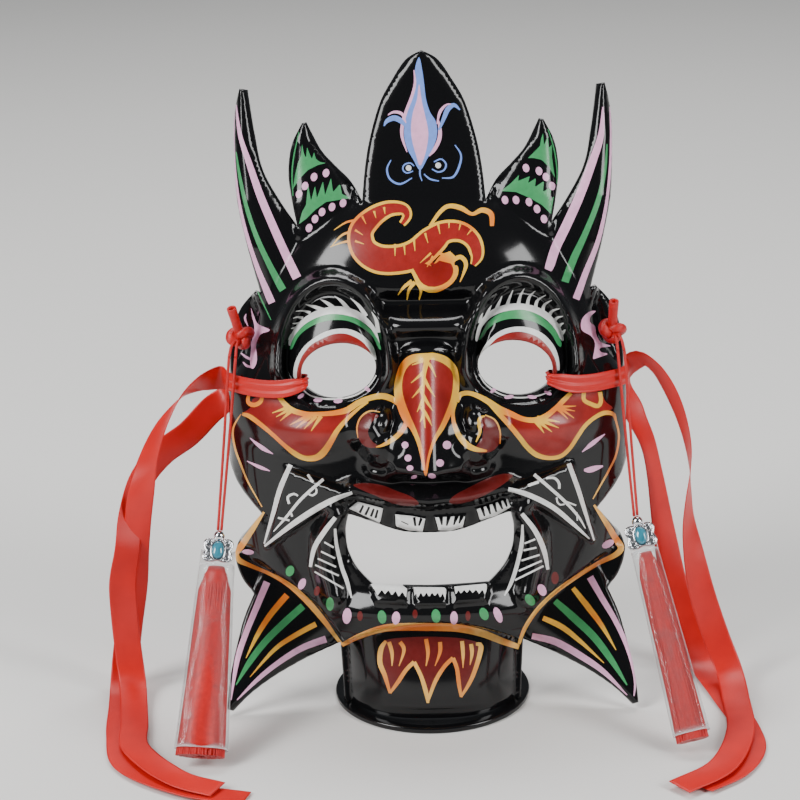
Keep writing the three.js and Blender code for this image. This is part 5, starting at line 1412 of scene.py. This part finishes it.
def ribbon_mesh(name, stops, mats):
    """A satin strip with soft folds where it is gathered, and its length."""
    line = centripetal([s[0] for s in stops], 24)
    data = np.array([[*s[1], s[2], s[3]] for s in stops])
    place = np.linspace(0, len(stops) - 1, len(line))
    spread = np.stack([np.interp(place, range(len(stops)), data[:, k]) for k in range(5)], 1)
    reach = np.r_[0, np.cumsum(np.linalg.norm(np.diff(line, axis=0), axis=1))]
    count = round(reach[-1] / RIBBON_MESH["step"])
    at = np.linspace(0, reach[-1], count + 1)
    line = np.stack([np.interp(at, reach, line[:, k]) for k in range(3)], 1)
    spread = np.stack([np.interp(at, reach, spread[:, k]) for k in range(5)], 1)
    tangent = unit(np.gradient(line, axis=0))
    spread[:, :3] -= tangent * np.sum(spread[:, :3] * tangent, 1, keepdims=True)
    for i in range(1, len(spread)):
        if np.dot(spread[i, :3], spread[i - 1, :3]) < 0:
            spread[i, :3] *= -1
    for _ in range(RIBBON_MESH["passes"]):
        spread[1:-1] = (spread[:-2] + 2 * spread[1:-1] + spread[2:]) / 4
    across = RIBBON_MESH["across"]
    s = np.linspace(-1, 1, across + 1)
    folds = np.sin(FOLDS["waves"] * math.pi * s + FOLDS["phase"])
    folds = FOLDS["high"] * folds * (1 - FOLDS["calm"] * s * s)
    top, low = [], []
    for i, (p, t) in enumerate(zip(line, tangent)):
        wide = unit(spread[i, :3] - t * np.dot(spread[i, :3], t))
        up = np.cross(t, wide)
        half, gather = spread[i, 3], spread[i, 4]
        cup = CUPPING[0] * s * s * math.sin(at[i] / CUPPING[1])
        tilt = TILTING[0] * s * math.sin(at[i] / TILTING[1] + 1)
        row = p + np.outer(half * s, wide) + np.outer(gather * folds + (1 - gather) * (cup + tilt), up)
        lowest = row[:, 2].min() - RIBBON["thick"]
        row[:, 2] += max(0, CLEARANCE - lowest)
        top.append(row + up * RIBBON["thick"] / 2)
        low.append(row - up * RIBBON["thick"] / 2)
    rings = [np.vstack([a, b[::-1]]) for a, b in zip(top, low)]
    points, faces = loft(rings)
    obj = new_object(name, points, faces, mats, merge=False)
    uv = obj.data.uv_layers.new(name="UVMap")
    n = len(rings[0])
    for face in obj.data.polygons:
        for loop, vertex in zip(face.loop_indices, face.vertices):
            ring, k = divmod(vertex, n)
            share = k if k <= across else n - 1 - k
            uv.data[loop].uv = (at[min(ring, count)] * MM, share / across * 2 * RIBBON["half"] * MM)
    outward(obj)
    return obj, reach[-1]


class MASK_OT_ribbons(bpy.types.Operator):
    """Lay the two satin tie ribbons"""

    bl_idname = "tribal_mask.ribbons"
    bl_label = "Ribbons"

    def execute(self, context):
        relief = Relief.shared()
        for name, side, front, back in (("left", -1, LEFT_FRONT, LEFT_BACK),
                                        ("right", 1, RIGHT_FRONT, RIGHT_BACK)):
            stops = ribbon_line(relief, side, front, back)
            obj, length = ribbon_mesh(f"satin_ribbon_{name}", stops, [look("satin_red")])
            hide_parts(f"ribbon_{name}")
            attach(obj, "root")
        return {"FINISHED"}


# Knots, cords, charms and tassels.
def knot_place(side):
    slant = KNOT["radius"] * math.sqrt(0.5)
    depths = [form_depth(np.array(KNOT["x"] + 0.0), np.array(KNOT["v"] + 0.0)) + KNOT["radius"]]
    for k in range(8):
        x = KNOT["x"] + slant * math.cos(k * math.pi / 4)
        v = KNOT["v"] + slant * math.sin(k * math.pi / 4)
        depths.append(max(float(form_depth(np.array(x), np.array(v))), FACE["edge"]) + slant)
    return on_mask(side * KNOT["x"], KNOT["v"], float(max(depths)) + KNOT["gap"])


def hanging_frame(hang):
    """The frame of one tassel in millimetres: the charm's middle, with -Z along the tassel."""
    swing, spread = hang["swing"], hang["spread"]
    down = CHARM["tall"] + SLEEVE["length"]
    z = (down * math.cos(swing) * math.cos(spread) + SLEEVE["deep"] * math.sin(swing)
         + hang["foot"] * math.sin(spread) + CLEARANCE)
    turn = Matrix.Rotation(-hang["side"] * spread, 3, "Y") @ Matrix.Rotation(-swing, 3, "X")
    return Matrix.Translation((hang["side"] * hang["x"], hang["y"], z)) @ turn.to_4x4()


def placed(matrix, points):
    m = np.array(matrix)
    return np.asarray(points, float) @ m[:3, :3].T + m[:3, 3]


def turned(profile, sides, matrix=Matrix()):
    """Points and faces of a closed turned form from [radius, z] points in a frame of its own."""
    a = np.linspace(0, 2 * math.pi, sides, endpoint=False)
    rings = [placed(matrix, np.stack([r * np.cos(a), r * np.sin(a), np.full(sides, z)], 1))
             for r, z in profile]
    return loft(rings)


def knot_parts(hang):
    """The knot's strands, its open stub, and the short cords that leave it."""
    centre = knot_place(hang["side"])
    t = np.linspace(0, 2 * math.pi, 73)
    loop = np.stack([KNOT_LOOP[0] * (np.sin(t) + 2 * np.sin(2 * t)), KNOT_LOOP[1] * np.sin(3 * t),
                     KNOT_LOOP[2] * (np.cos(t) - 2 * np.cos(2 * t))], 1)
    tip = Matrix.Rotation(KNOT["lean"] * hang["side"], 3, "Y")
    parts = [tube(centre + loop @ np.array(tip).T, KNOT["strand"], 12)]
    lean = hang["side"] * KNOT["lean" if hang["side"] < 0 else "right_lean"]
    upright = (Matrix.Translation(centre) @ Matrix.Rotation(lean, 4, "Y")
               @ Matrix.Rotation(KNOT["forward"], 4, "X"))
    r, top = KNOT["stub"], KNOT["radius"] / 2 + KNOT["stub_length"]
    stub = ([(r * share, z) for share, z in STUB_FOOT] + [(r * share, top - z) for share, z in STUB_TOP])
    parts.append(turned(stub, 20, upright))
    shift = hang["side"] * CORD["out"]
    low = np.array([0, -CORD["forward"], -KNOT["radius"] - CORD["diameter"] / 2 + 0.1])
    for strand in (-1, 1):
        out = np.array([shift + strand * CORD["apart"] / 2, 0, 0])
        path = centripetal([centre, centre + out * 0.7 + low * 0.5 + (0, -1.5, 2), centre + out + low], 8)
        parts.append(tube(path, CORD["diameter"] / 2, 10))
    back = on_mask(0, 0, 0) - on_mask(0, 0, KNOT["gap"] + KNOT["radius"] - 1)
    parts.append(tube([centre, centre + back * 0.5, centre + back], KNOT["link"], 10))
    return parts


class MASK_OT_knots(bpy.types.Operator):
    """Wind the knots at the ears"""

    bl_idname = "tribal_mask.knots"
    bl_label = "Knots"

    def execute(self, context):
        for name, hang in HANG.items():
            obj = joined(f"cord_knot_{name}", knot_parts(hang), [look("thread_red")])
            outward(obj)
            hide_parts(f"knot_{name}")
            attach(obj, "root")
        return {"FINISHED"}


class MASK_OT_cords(bpy.types.Operator):
    """Hang the thin double cords of the tassels"""

    bl_idname = "tribal_mask.cords"
    bl_label = "Tassel cords"

    def execute(self, context):
        for name, hang in HANG.items():
            side, matrix = hang["side"], hanging_frame(hang)
            for strand, part in ((-side, "inner"), (side, "outer")):
                shift = side * CORD["out"] + strand * CORD["apart"] / 2
                top = knot_place(side) + (shift, -CORD["forward"], -KNOT["radius"] - CORD["diameter"] / 2)
                lift = (CHARM["tall"] * (1 - CHARM["notch"]) + CHARM["eyelet"] * (2 - CHARM["sunk"])
                        + CLEARANCE)
                foot = placed(matrix, [(strand * CORD["together"] / 2, 0, lift)])[0]
                middle = (top + foot) / 2 - (0, 0, CORD["sag"])
                path = even(centripetal([top, middle, foot], 24), 3)
                points, faces = tube(path, CORD["diameter"] / 2, 10)
                obj = new_object(f"hanging_cord_{name}_{part}", points, faces, [look("thread_red")])
                outward(obj)
                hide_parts(f"tassel_cord_{name}_{part}")
                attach(obj, "root")
        return {"FINISHED"}


def charm_outline(a, inset):
    r = 1 - CHARM["notch"] * (1 + np.cos(4 * a)) / 2
    return (CHARM["wide"] * r - inset) * np.cos(a), (CHARM["tall"] * r - inset) * np.sin(a)


def charm_parts():
    """The cast plate with its wire rim, scrolls, beads, the stone's setting and the cord's ball."""
    a = np.linspace(0, 2 * math.pi, 96, endpoint=False)
    thick = CHARM["thick"] / 2
    rings = []
    for inset, y in ((1, thick), (0.6, 0.2), (0.6, -0.2), (1, -thick + 0.9)):
        x, z = charm_outline(a, inset)
        rings.append(np.stack([x, np.full(96, y), z], 1))
    parts = [loft(rings)]
    front = -thick + WIRES["plate"]
    around = np.linspace(0, 2 * math.pi, 97)
    x, z = charm_outline(around, WIRES["inset"])
    parts.append(tube(np.stack([x, np.full(97, front + WIRES["raised"]), z], 1), WIRES["rim"], 8))
    oval = np.stack([(STONE["wide"] + WIRES["round_stone"]) * np.cos(around), np.full(97, front),
                     (STONE["tall"] + WIRES["round_stone"]) * np.sin(around)], 1)
    parts.append(tube(oval, WIRES["setting"], 8))
    for k in range(4):
        way = math.pi / 4 + k * math.pi / 2
        t = np.linspace(0, 1, SCROLL["points"])
        curl = way + (1 if k % 2 else -1) * (SCROLL["start"] + SCROLL["turn"] * t)
        cx, cz = SCROLL["wide"] * math.cos(way), SCROLL["tall"] * math.sin(way)
        size = SCROLL["radius"] * (1 - SCROLL["taper"] * t)
        scroll = np.stack([cx + size * np.cos(curl), np.full(len(t), front), cz + size * np.sin(curl)], 1)
        parts.append(tube(scroll, SCROLL["wire"], 7))
        for turn in BEADS["turns"]:
            inward = 1 - abs(turn) * BEADS["drawn_in"]
            bead = Matrix.Translation((BEADS["wide"] * math.cos(way + turn) * inward, front,
                                       BEADS["tall"] * math.sin(way + turn) * inward))
            parts.append(turned(BEADS["profile"], 8, bead))
    lift = CHARM["tall"] * (1 - CHARM["notch"]) + CHARM["eyelet"] * (1 - CHARM["sunk"])
    polar = np.linspace(math.pi - 0.04, 0.04, 14)
    parts.append(turned([(CHARM["eyelet"] * math.sin(p), lift + CHARM["eyelet"] * math.cos(p))
                         for p in polar], 20))
    return parts


class MASK_OT_charms(bpy.types.Operator):
    """Cast the silver charms and set their stones"""

    bl_idname = "tribal_mask.charms"
    bl_label = "Charms and stones"

    def execute(self, context):
        a = np.linspace(0, 2 * math.pi, 32, endpoint=False)
        rings = []
        for t in np.linspace(0, 0.97, 9):
            wide, high = math.cos(t * math.pi / 2), math.sin(t * math.pi / 2)
            rings.append(np.stack([STONE["wide"] * wide * np.cos(a),
                                   np.full(32, -CHARM["thick"] / 2 - CLEARANCE - STONE["high"] * high),
                                   STONE["tall"] * wide * np.sin(a)], 1))
        points, faces = loft(rings)
        for name, hang in HANG.items():
            matrix = hanging_frame(hang)
            parts = [(placed(matrix, p), f) for p, f in charm_parts()]
            obj = joined(f"silver_charm_{name}", parts, [look("silver")])
            outward(obj)
            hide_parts(f"charm_{name}")
            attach(obj, "root")
            stone = new_object(f"oval_stone_{name}", placed(matrix, points), faces, [look("stone")])
            outward(stone)
            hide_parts(f"stone_{name}")
            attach(stone, "root")
        return {"FINISHED"}


class Tree:
    """A Geometry Nodes tree with a short way to add and link nodes."""

    def __init__(self, name, inputs):
        self.tree = bpy.data.node_groups.new(name, "GeometryNodeTree")
        face = self.tree.interface
        face.new_socket("Geometry", in_out="INPUT", socket_type="NodeSocketGeometry")
        face.new_socket("Geometry", in_out="OUTPUT", socket_type="NodeSocketGeometry")
        self.names = {}
        for label, kind in inputs:
            self.names[label] = face.new_socket(label, in_out="INPUT", socket_type=kind).identifier
        self.source = self.tree.nodes.new("NodeGroupInput")
        self.sink = self.tree.nodes.new("NodeGroupOutput")

    def add(self, kind, values=None, **settings):
        node = self.tree.nodes.new(kind)
        for key, value in settings.items():
            setattr(node, key, value)
        for key, value in (values or {}).items():
            socket = node.inputs[key]
            if isinstance(value, bpy.types.NodeSocket):
                self.tree.links.new(value, socket)
            else:
                socket.default_value = value
        return node

    def maths(self, kind, a, b=0.0):
        node = self.add("ShaderNodeMath", {0: a, 1: b}, operation=kind)
        return node.outputs[0]

    def grown(self, name, values):
        """The tree's result as a plain piece in the tree's own frame."""
        obj = bpy.data.objects.new(name, bpy.data.meshes.new(name))
        bpy.context.scene.collection.objects.link(obj)
        modifier = obj.modifiers.new(name, "NODES")
        modifier.node_group = self.tree
        for label, value in values.items():
            modifier[self.names[label]] = value
        graph = bpy.context.evaluated_depsgraph_get()
        mesh = bpy.data.meshes.new_from_object(obj.evaluated_get(graph))
        obj.modifiers.clear()
        obj.data = mesh
        return obj


def thread_tree():
    """Threads that hang from a round head and spread towards their cut ends."""
    t = Tree("Hanging threads", [
        ("Threads", "NodeSocketInt"), ("Length", "NodeSocketFloat"), ("Top", "NodeSocketFloat"),
        ("Foot", "NodeSocketFloat"), ("Flatness", "NodeSocketFloat"), ("Deepest", "NodeSocketFloat"),
        ("Thickness", "NodeSocketFloat"), ("Seed", "NodeSocketInt"), ("Material", "NodeSocketMaterial")])
    out = t.source.outputs
    index = t.add("GeometryNodeInputIndex").outputs[0]

    def chance(shift, low, high):
        seed = t.maths("ADD", out["Seed"], shift)
        node = t.add("FunctionNodeRandomValue", {"ID": index, "Seed": seed}, data_type="FLOAT")
        node.inputs[2].default_value, node.inputs[3].default_value = low, high
        return node.outputs[1]

    angle = chance(1, 0, 2 * math.pi)
    reach = t.maths("SQRT", chance(2, 0.05, 1))
    x = t.maths("MULTIPLY", reach, t.maths("COSINE", angle))
    y = t.maths("MULTIPLY", t.maths("MULTIPLY", reach, t.maths("SINE", angle)), out["Flatness"])
    spot = t.add("ShaderNodeCombineXYZ", {"X": x, "Y": y}).outputs[0]
    points = t.add("GeometryNodePoints", {"Count": out["Threads"], "Position": spot}).outputs[0]
    line = t.add("GeometryNodeCurvePrimitiveLine", {"Start": (0, 0, 0), "End": (0, 0, -1)}).outputs[0]
    line = t.add("GeometryNodeResampleCurve", {"Curve": line, "Count": THREADS["points"]}).outputs[0]
    many = t.add("GeometryNodeInstanceOnPoints", {"Points": points, "Instance": line}).outputs[0]
    many = t.add("GeometryNodeRealizeInstances", {"Geometry": many}).outputs[0]
    place = t.add("GeometryNodeInputPosition").outputs[0]
    parts = t.add("ShaderNodeSeparateXYZ", {"Vector": place}).outputs
    down = t.maths("MULTIPLY", parts["Z"], -1.0)
    straight = t.add("ShaderNodeMix", {0: down, 2: out["Top"], 3: out["Foot"]}).outputs[0]
    narrow = t.add("ShaderNodeMapRange",
                   {"Value": down, "From Max": THREADS["head"], "To Min": THREADS["narrow"]},
                   interpolation_type="SMOOTHSTEP").outputs[0]
    radius = t.maths("MULTIPLY", straight, narrow)
    wave = t.add("ShaderNodeTexNoise", {"Vector": place, "Scale": THREADS["wave"], "Detail": 1.0},
                 noise_dimensions="3D")
    sway = t.maths("MULTIPLY", t.maths("SUBTRACT", wave.outputs["Fac"], 0.5),
                   t.maths("MULTIPLY", down, THREADS["sway"]))
    nx = t.maths("ADD", t.maths("MULTIPLY", parts["X"], radius), sway)
    ny = t.maths("MULTIPLY", parts["Y"], t.maths("MINIMUM", radius, out["Deepest"]))
    nz = t.maths("MULTIPLY", parts["Z"], out["Length"])
    moved = t.add("ShaderNodeCombineXYZ", {"X": nx, "Y": ny, "Z": nz}).outputs[0]
    bent = t.add("GeometryNodeSetPosition", {"Geometry": many, "Position": moved}).outputs[0]
    ring = t.add("GeometryNodeCurvePrimitiveCircle",
                 {"Resolution": THREADS["sides"], "Radius": out["Thickness"]}).outputs[0]
    tubes = t.add("GeometryNodeCurveToMesh",
                  {"Curve": bent, "Profile Curve": ring, "Fill Caps": True}).outputs[0]
    tubes = t.add("GeometryNodeRealizeInstances", {"Geometry": tubes}).outputs[0]
    tubes = t.add("GeometryNodeSetMaterial", {"Geometry": tubes, "Material": out["Material"]}).outputs[0]
    t.tree.links.new(tubes, t.sink.inputs[0])
    return t


class MASK_OT_tassels(bpy.types.Operator):
    """Grow the red thread tassels"""

    bl_idname = "tribal_mask.tassels"
    bl_label = "Tassels"

    def execute(self, context):
        sizes = context.scene.tassel_sizes
        tree = thread_tree()
        for number, (name, hang) in enumerate(HANG.items()):
            start = -(CHARM["tall"] + CLEARANCE + TASSEL["below_charm"])
            red = look("thread_red")
            top, foot = hang["top"] - TASSEL["gap"], hang["foot"] - TASSEL["gap"]
            obj = tree.grown(f"thread_tassel_{name}", {
                "Threads": sizes.threads, "Length": sizes.length + TASSEL["extra"], "Top": top * MM,
                "Foot": foot * MM, "Flatness": TASSEL["flat"], "Deepest": SLEEVE["deep"] * MM,
                "Thickness": sizes.thread_size / 2, "Seed": TASSEL["seed"] + number, "Material": red})
            matrix = hanging_frame(hang)
            metres = Matrix.Translation(matrix.translation * MM) @ matrix.to_3x3().to_4x4()
            obj.data.transform(metres @ Matrix.Translation((0, 0, start * MM)))
            flat = Matrix.Diagonal((1, TASSEL["flat"], 1, 1))
            core = [(top * of_top + foot * of_foot, start - down) for down, of_top, of_foot in CORE]
            cap = joined(f"head_{name}", [turned(core, 24, matrix @ flat)], [red])
            outward(cap)
            with bpy.context.temp_override(active_object=obj, selected_editable_objects=[obj, cap]):
                bpy.ops.object.join()
            obj.data.polygons.foreach_set("use_smooth", [True] * len(obj.data.polygons))
            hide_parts(f"tassel_{name}")
            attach(obj, "root")
        return {"FINISHED"}


def film_ring(hang, t, inset):
    """One ring of a film round its tassel, flat with two seams and a flap behind the charm, and the weight of
    the painted highlight along it.
    """
    a = np.linspace(0, 2 * math.pi, SLEEVE["sides"], endpoint=False)
    half = hang["top"] + (hang["foot"] - hang["top"]) * t - inset
    deep = SLEEVE["deep"] * (FILM["top"] - FILM["loses"] * t) - inset
    cos, sin = np.cos(a), np.sin(a)
    seam = np.abs(cos) ** FILM["seam"]
    swings = math.sin(FILM["waves"] * t + hang["side"])
    crease = FILM["crease"] * np.sin(FILM["creases"] * a + FILM["twist"] * t) * swings - FILM["crease"]
    x = half * np.sign(cos) * np.abs(cos) ** FILM["square_x"]
    y = (deep + np.where(seam < FILM["at_seam"], crease, 0)) * np.sign(sin) * np.abs(sin) ** FILM["square_y"]
    rises = smooth((sin + FILM["flap_from"]) / FILM["flap_over"])
    z = SLEEVE["flap"] * rises * (1 - t) ** FILM["flap_fades"] - CHARM["tall"] - t * SLEEVE["seen"]
    # Besides the ring, a weight for the film's painted highlight: high at the two seams and near the top and
    # foot.
    return np.stack([x, y, z], 1), np.maximum(seam**3, 1 - min(1, FILM["end_band"] * min(t, 1 - t)))


class MASK_OT_sleeves(bpy.types.Operator):
    """Slip the clear sleeves over the tassels"""

    bl_idname = "tribal_mask.sleeves"
    bl_label = "Clear sleeves"

    def execute(self, context):
        rows, n = SLEEVE["rows"], SLEEVE["sides"]
        for name, hang in HANG.items():
            rings = [film_ring(hang, i / rows, inset)
                     for inset in (0, SLEEVE["wall"]) for i in range(rows + 1)]
            points = placed(hanging_frame(hang), np.vstack([ring for ring, _ in rings]))
            faces = []
            inner = (rows + 1) * n
            for r in range(rows):
                for i in range(n):
                    a, b = r * n + i, r * n + (i + 1) % n
                    faces.append((a, b, b + n, a + n))
                    faces.append((inner + b, inner + a, inner + a + n, inner + b + n))
            for i in range(n):
                b = (i + 1) % n
                faces.append((b, i, inner + i, inner + b))
                last = rows * n
                faces.append((last + i, last + b, inner + last + b, inner + last + i))
            obj = new_object(f"film_sleeve_{name}", points, faces, [look("film")], merge=False)
            # The seam attribute carries the painted highlight's weight to the film's material.
            seam = obj.data.attributes.new("seam", "FLOAT", "POINT")
            seam.data.foreach_set("value", np.concatenate([edge for _, edge in rings]).astype(np.float32))
            outward(obj)
            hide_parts(f"sleeve_{name}")
            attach(obj, "root")
        return {"FINISHED"}


# Camera, floor and light.
SEEN_TO = 50
FLOOR = 8
FLOOR_COLOUR = (0.72, 0.71, 0.69)
SKY = ((0.8, 0.85, 0.9, 1), 0.14)
# Lights: name, place, aim, width and height in metres, and power in watts.
LIGHTS = (
    ("key_light", (-1.5, -0.9, 1.4), (0, 0, 0.15), (0.75, 1.3), 54),
    ("fill_light", (1.6, -0.9, 1.2), (0, 0, 0.15), (0.65, 1.3), 38),
    ("top_light", (0, 0.9, 1.9), (0, 0, 0.2), (1.8, 0.6), 34),
)


class MASK_OT_stage(bpy.types.Operator):
    """Set up the camera, a pale floor and soft studio light"""

    bl_idname = "tribal_mask.stage"
    bl_label = "Camera, floor and light"

    def execute(self, context):
        right, up, ahead, place = camera_axes()
        data = bpy.data.cameras.new("photo_camera")
        data.lens, data.sensor_width = FRAME["lens"], FRAME["sensor"]
        data.shift_x = (FRAME["pixels"] / 2 - FRAME["centre"][0]) / FRAME["pixels"]
        data.clip_end = SEEN_TO
        camera = bpy.data.objects.new("photo_camera", data)
        context.scene.collection.objects.link(camera)
        turn = Matrix([[right[k], up[k], -ahead[k]] for k in range(3)])
        camera.matrix_world = Matrix.Translation(place * MM) @ turn.to_4x4()
        context.scene.camera = camera

        floor_mesh = bpy.data.meshes.new("pale_floor")
        corners = [(x * FLOOR, y * FLOOR, 0) for x, y in ((-1, -1), (1, -1), (1, 1), (-1, 1))]
        floor_mesh.from_pydata(corners, [], [(0, 1, 2, 3)])
        floor = bpy.data.objects.new("pale_floor", floor_mesh)
        context.scene.collection.objects.link(floor)
        n = Nodes("pale_floor", FLOOR_COLOUR, 0.7)
        n.put(n.shader, {"Roughness": n.ramp(n.noise(3), 0.65, 0.75)})
        floor_mesh.materials.append(n.material)

        world = bpy.data.worlds.new("soft_studio")
        world.use_nodes = True
        sky = world.node_tree.nodes["Background"].inputs
        sky["Color"].default_value, sky["Strength"].default_value = SKY
        context.scene.world = world
        for name, spot, aim, size, power in LIGHTS:
            light = bpy.data.lights.new(name, "AREA")
            light.shape, light.size, light.size_y, light.energy = "RECTANGLE", size[0], size[1], power
            lamp = bpy.data.objects.new(name, light)
            lamp.location = spot
            lamp.rotation_euler = (Vector(aim) - Vector(spot)).to_track_quat("-Z", "Y").to_euler()
            context.scene.collection.objects.link(lamp)
        return {"FINISHED"}


# Settings and panel.
def colour(name, about, value):
    return FloatVectorProperty(name=name, description=about, default=value, subtype="COLOR", min=0, max=1)


class MaskColours(bpy.types.PropertyGroup):
    """Colours of the finishes"""

    lacquer_black: colour("Lacquer", "Black glaze of the mask and the stand", (0.004, 0.004, 0.0045))
    satin_red: colour("Satin", "The tie ribbons", (0.58, 0.004, 0.002))
    thread_red: colour("Thread", "Knots, cords and tassels", (0.54, 0.004, 0.003))
    silver: colour("Silver", "The charms", (0.62, 0.63, 0.66))
    stone: colour("Stone", "The stones on the charms", (0.02, 0.2, 0.28))
    film: colour("Film", "The clear sleeves", (0.9, 0.92, 0.94))
    paint_pink: colour("Pink paint", "Stripes and dots", (0.84, 0.42, 0.66))
    paint_green: colour("Green paint", "Stripes, flames and lids", (0.04, 0.3, 0.1))
    paint_white: colour("White paint", "Lashes, teeth and tusks", (0.78, 0.78, 0.76))
    paint_blue: colour("Blue paint", "The crown's flower", (0.17, 0.3, 0.78))
    paint_yellow: colour("Yellow paint", "Edges of the red areas", (0.93, 0.5, 0.045))
    paint_gold: colour("Gold paint", "Edge of the jaw and the chin's leaves", (0.86, 0.46, 0.09))
    paint_red: colour("Red paint", "Cheeks, nose leaf and forehead", (0.3, 0.01, 0.006))
    paint_dark: colour("Dark red paint", "Lips and chin", (0.12, 0.003, 0.002))


class MaskSizes(bpy.types.PropertyGroup):
    """Sizes of the mask's mesh"""

    mesh_step: FloatProperty(name="Mesh step", description="Spacing of the front's points", default=0.0016,
                             min=0.001, max=0.01, unit="LENGTH")


class TasselSizes(bpy.types.PropertyGroup):
    """Sizes of the tassels"""

    threads: IntProperty(name="Threads", description="Threads in each tassel", default=560, min=20, max=1500)
    length: FloatProperty(name="Length", description="Length of a tassel", default=0.095, unit="LENGTH")
    thread_size: FloatProperty(name="Thread size", description="Thickness of a thread", default=0.0009,
                               unit="LENGTH")


OPERATORS = (MASK_OT_stage, MASK_OT_face, MASK_OT_stand, MASK_OT_ribbons, MASK_OT_knots, MASK_OT_charms,
             MASK_OT_tassels, MASK_OT_sleeves, MASK_OT_cords)


class MASK_PT_panel(bpy.types.Panel):
    """Sizes, colours and pieces of the mask"""

    bl_label = "Tribal Mask"
    bl_idname = "MASK_PT_panel"
    bl_space_type = "VIEW_3D"
    bl_region_type = "UI"
    bl_category = "Mask"

    def draw(self, context):
        for group in (context.scene.mask_sizes, context.scene.tassel_sizes, context.scene.mask_colours):
            box = self.layout.box()
            for key in group.__annotations__:
                box.prop(group, key)
        for operator in OPERATORS:
            self.layout.operator(operator.bl_idname)


CLASSES = (MaskColours, MaskSizes, TasselSizes) + OPERATORS + (MASK_PT_panel,)


def register():
    for cls in CLASSES:
        bpy.utils.register_class(cls)
    bpy.types.Scene.mask_colours = PointerProperty(type=MaskColours)
    bpy.types.Scene.mask_sizes = PointerProperty(type=MaskSizes)
    bpy.types.Scene.tassel_sizes = PointerProperty(type=TasselSizes)


def unregister():
    del bpy.types.Scene.mask_colours
    del bpy.types.Scene.mask_sizes
    del bpy.types.Scene.tassel_sizes
    for cls in reversed(CLASSES):
        bpy.utils.unregister_class(cls)


def main():
    register()
    for operator in OPERATORS:
        group, name = operator.bl_idname.split(".")
        getattr(getattr(bpy.ops, group), name)()


if __name__ == "__main__":
    main()
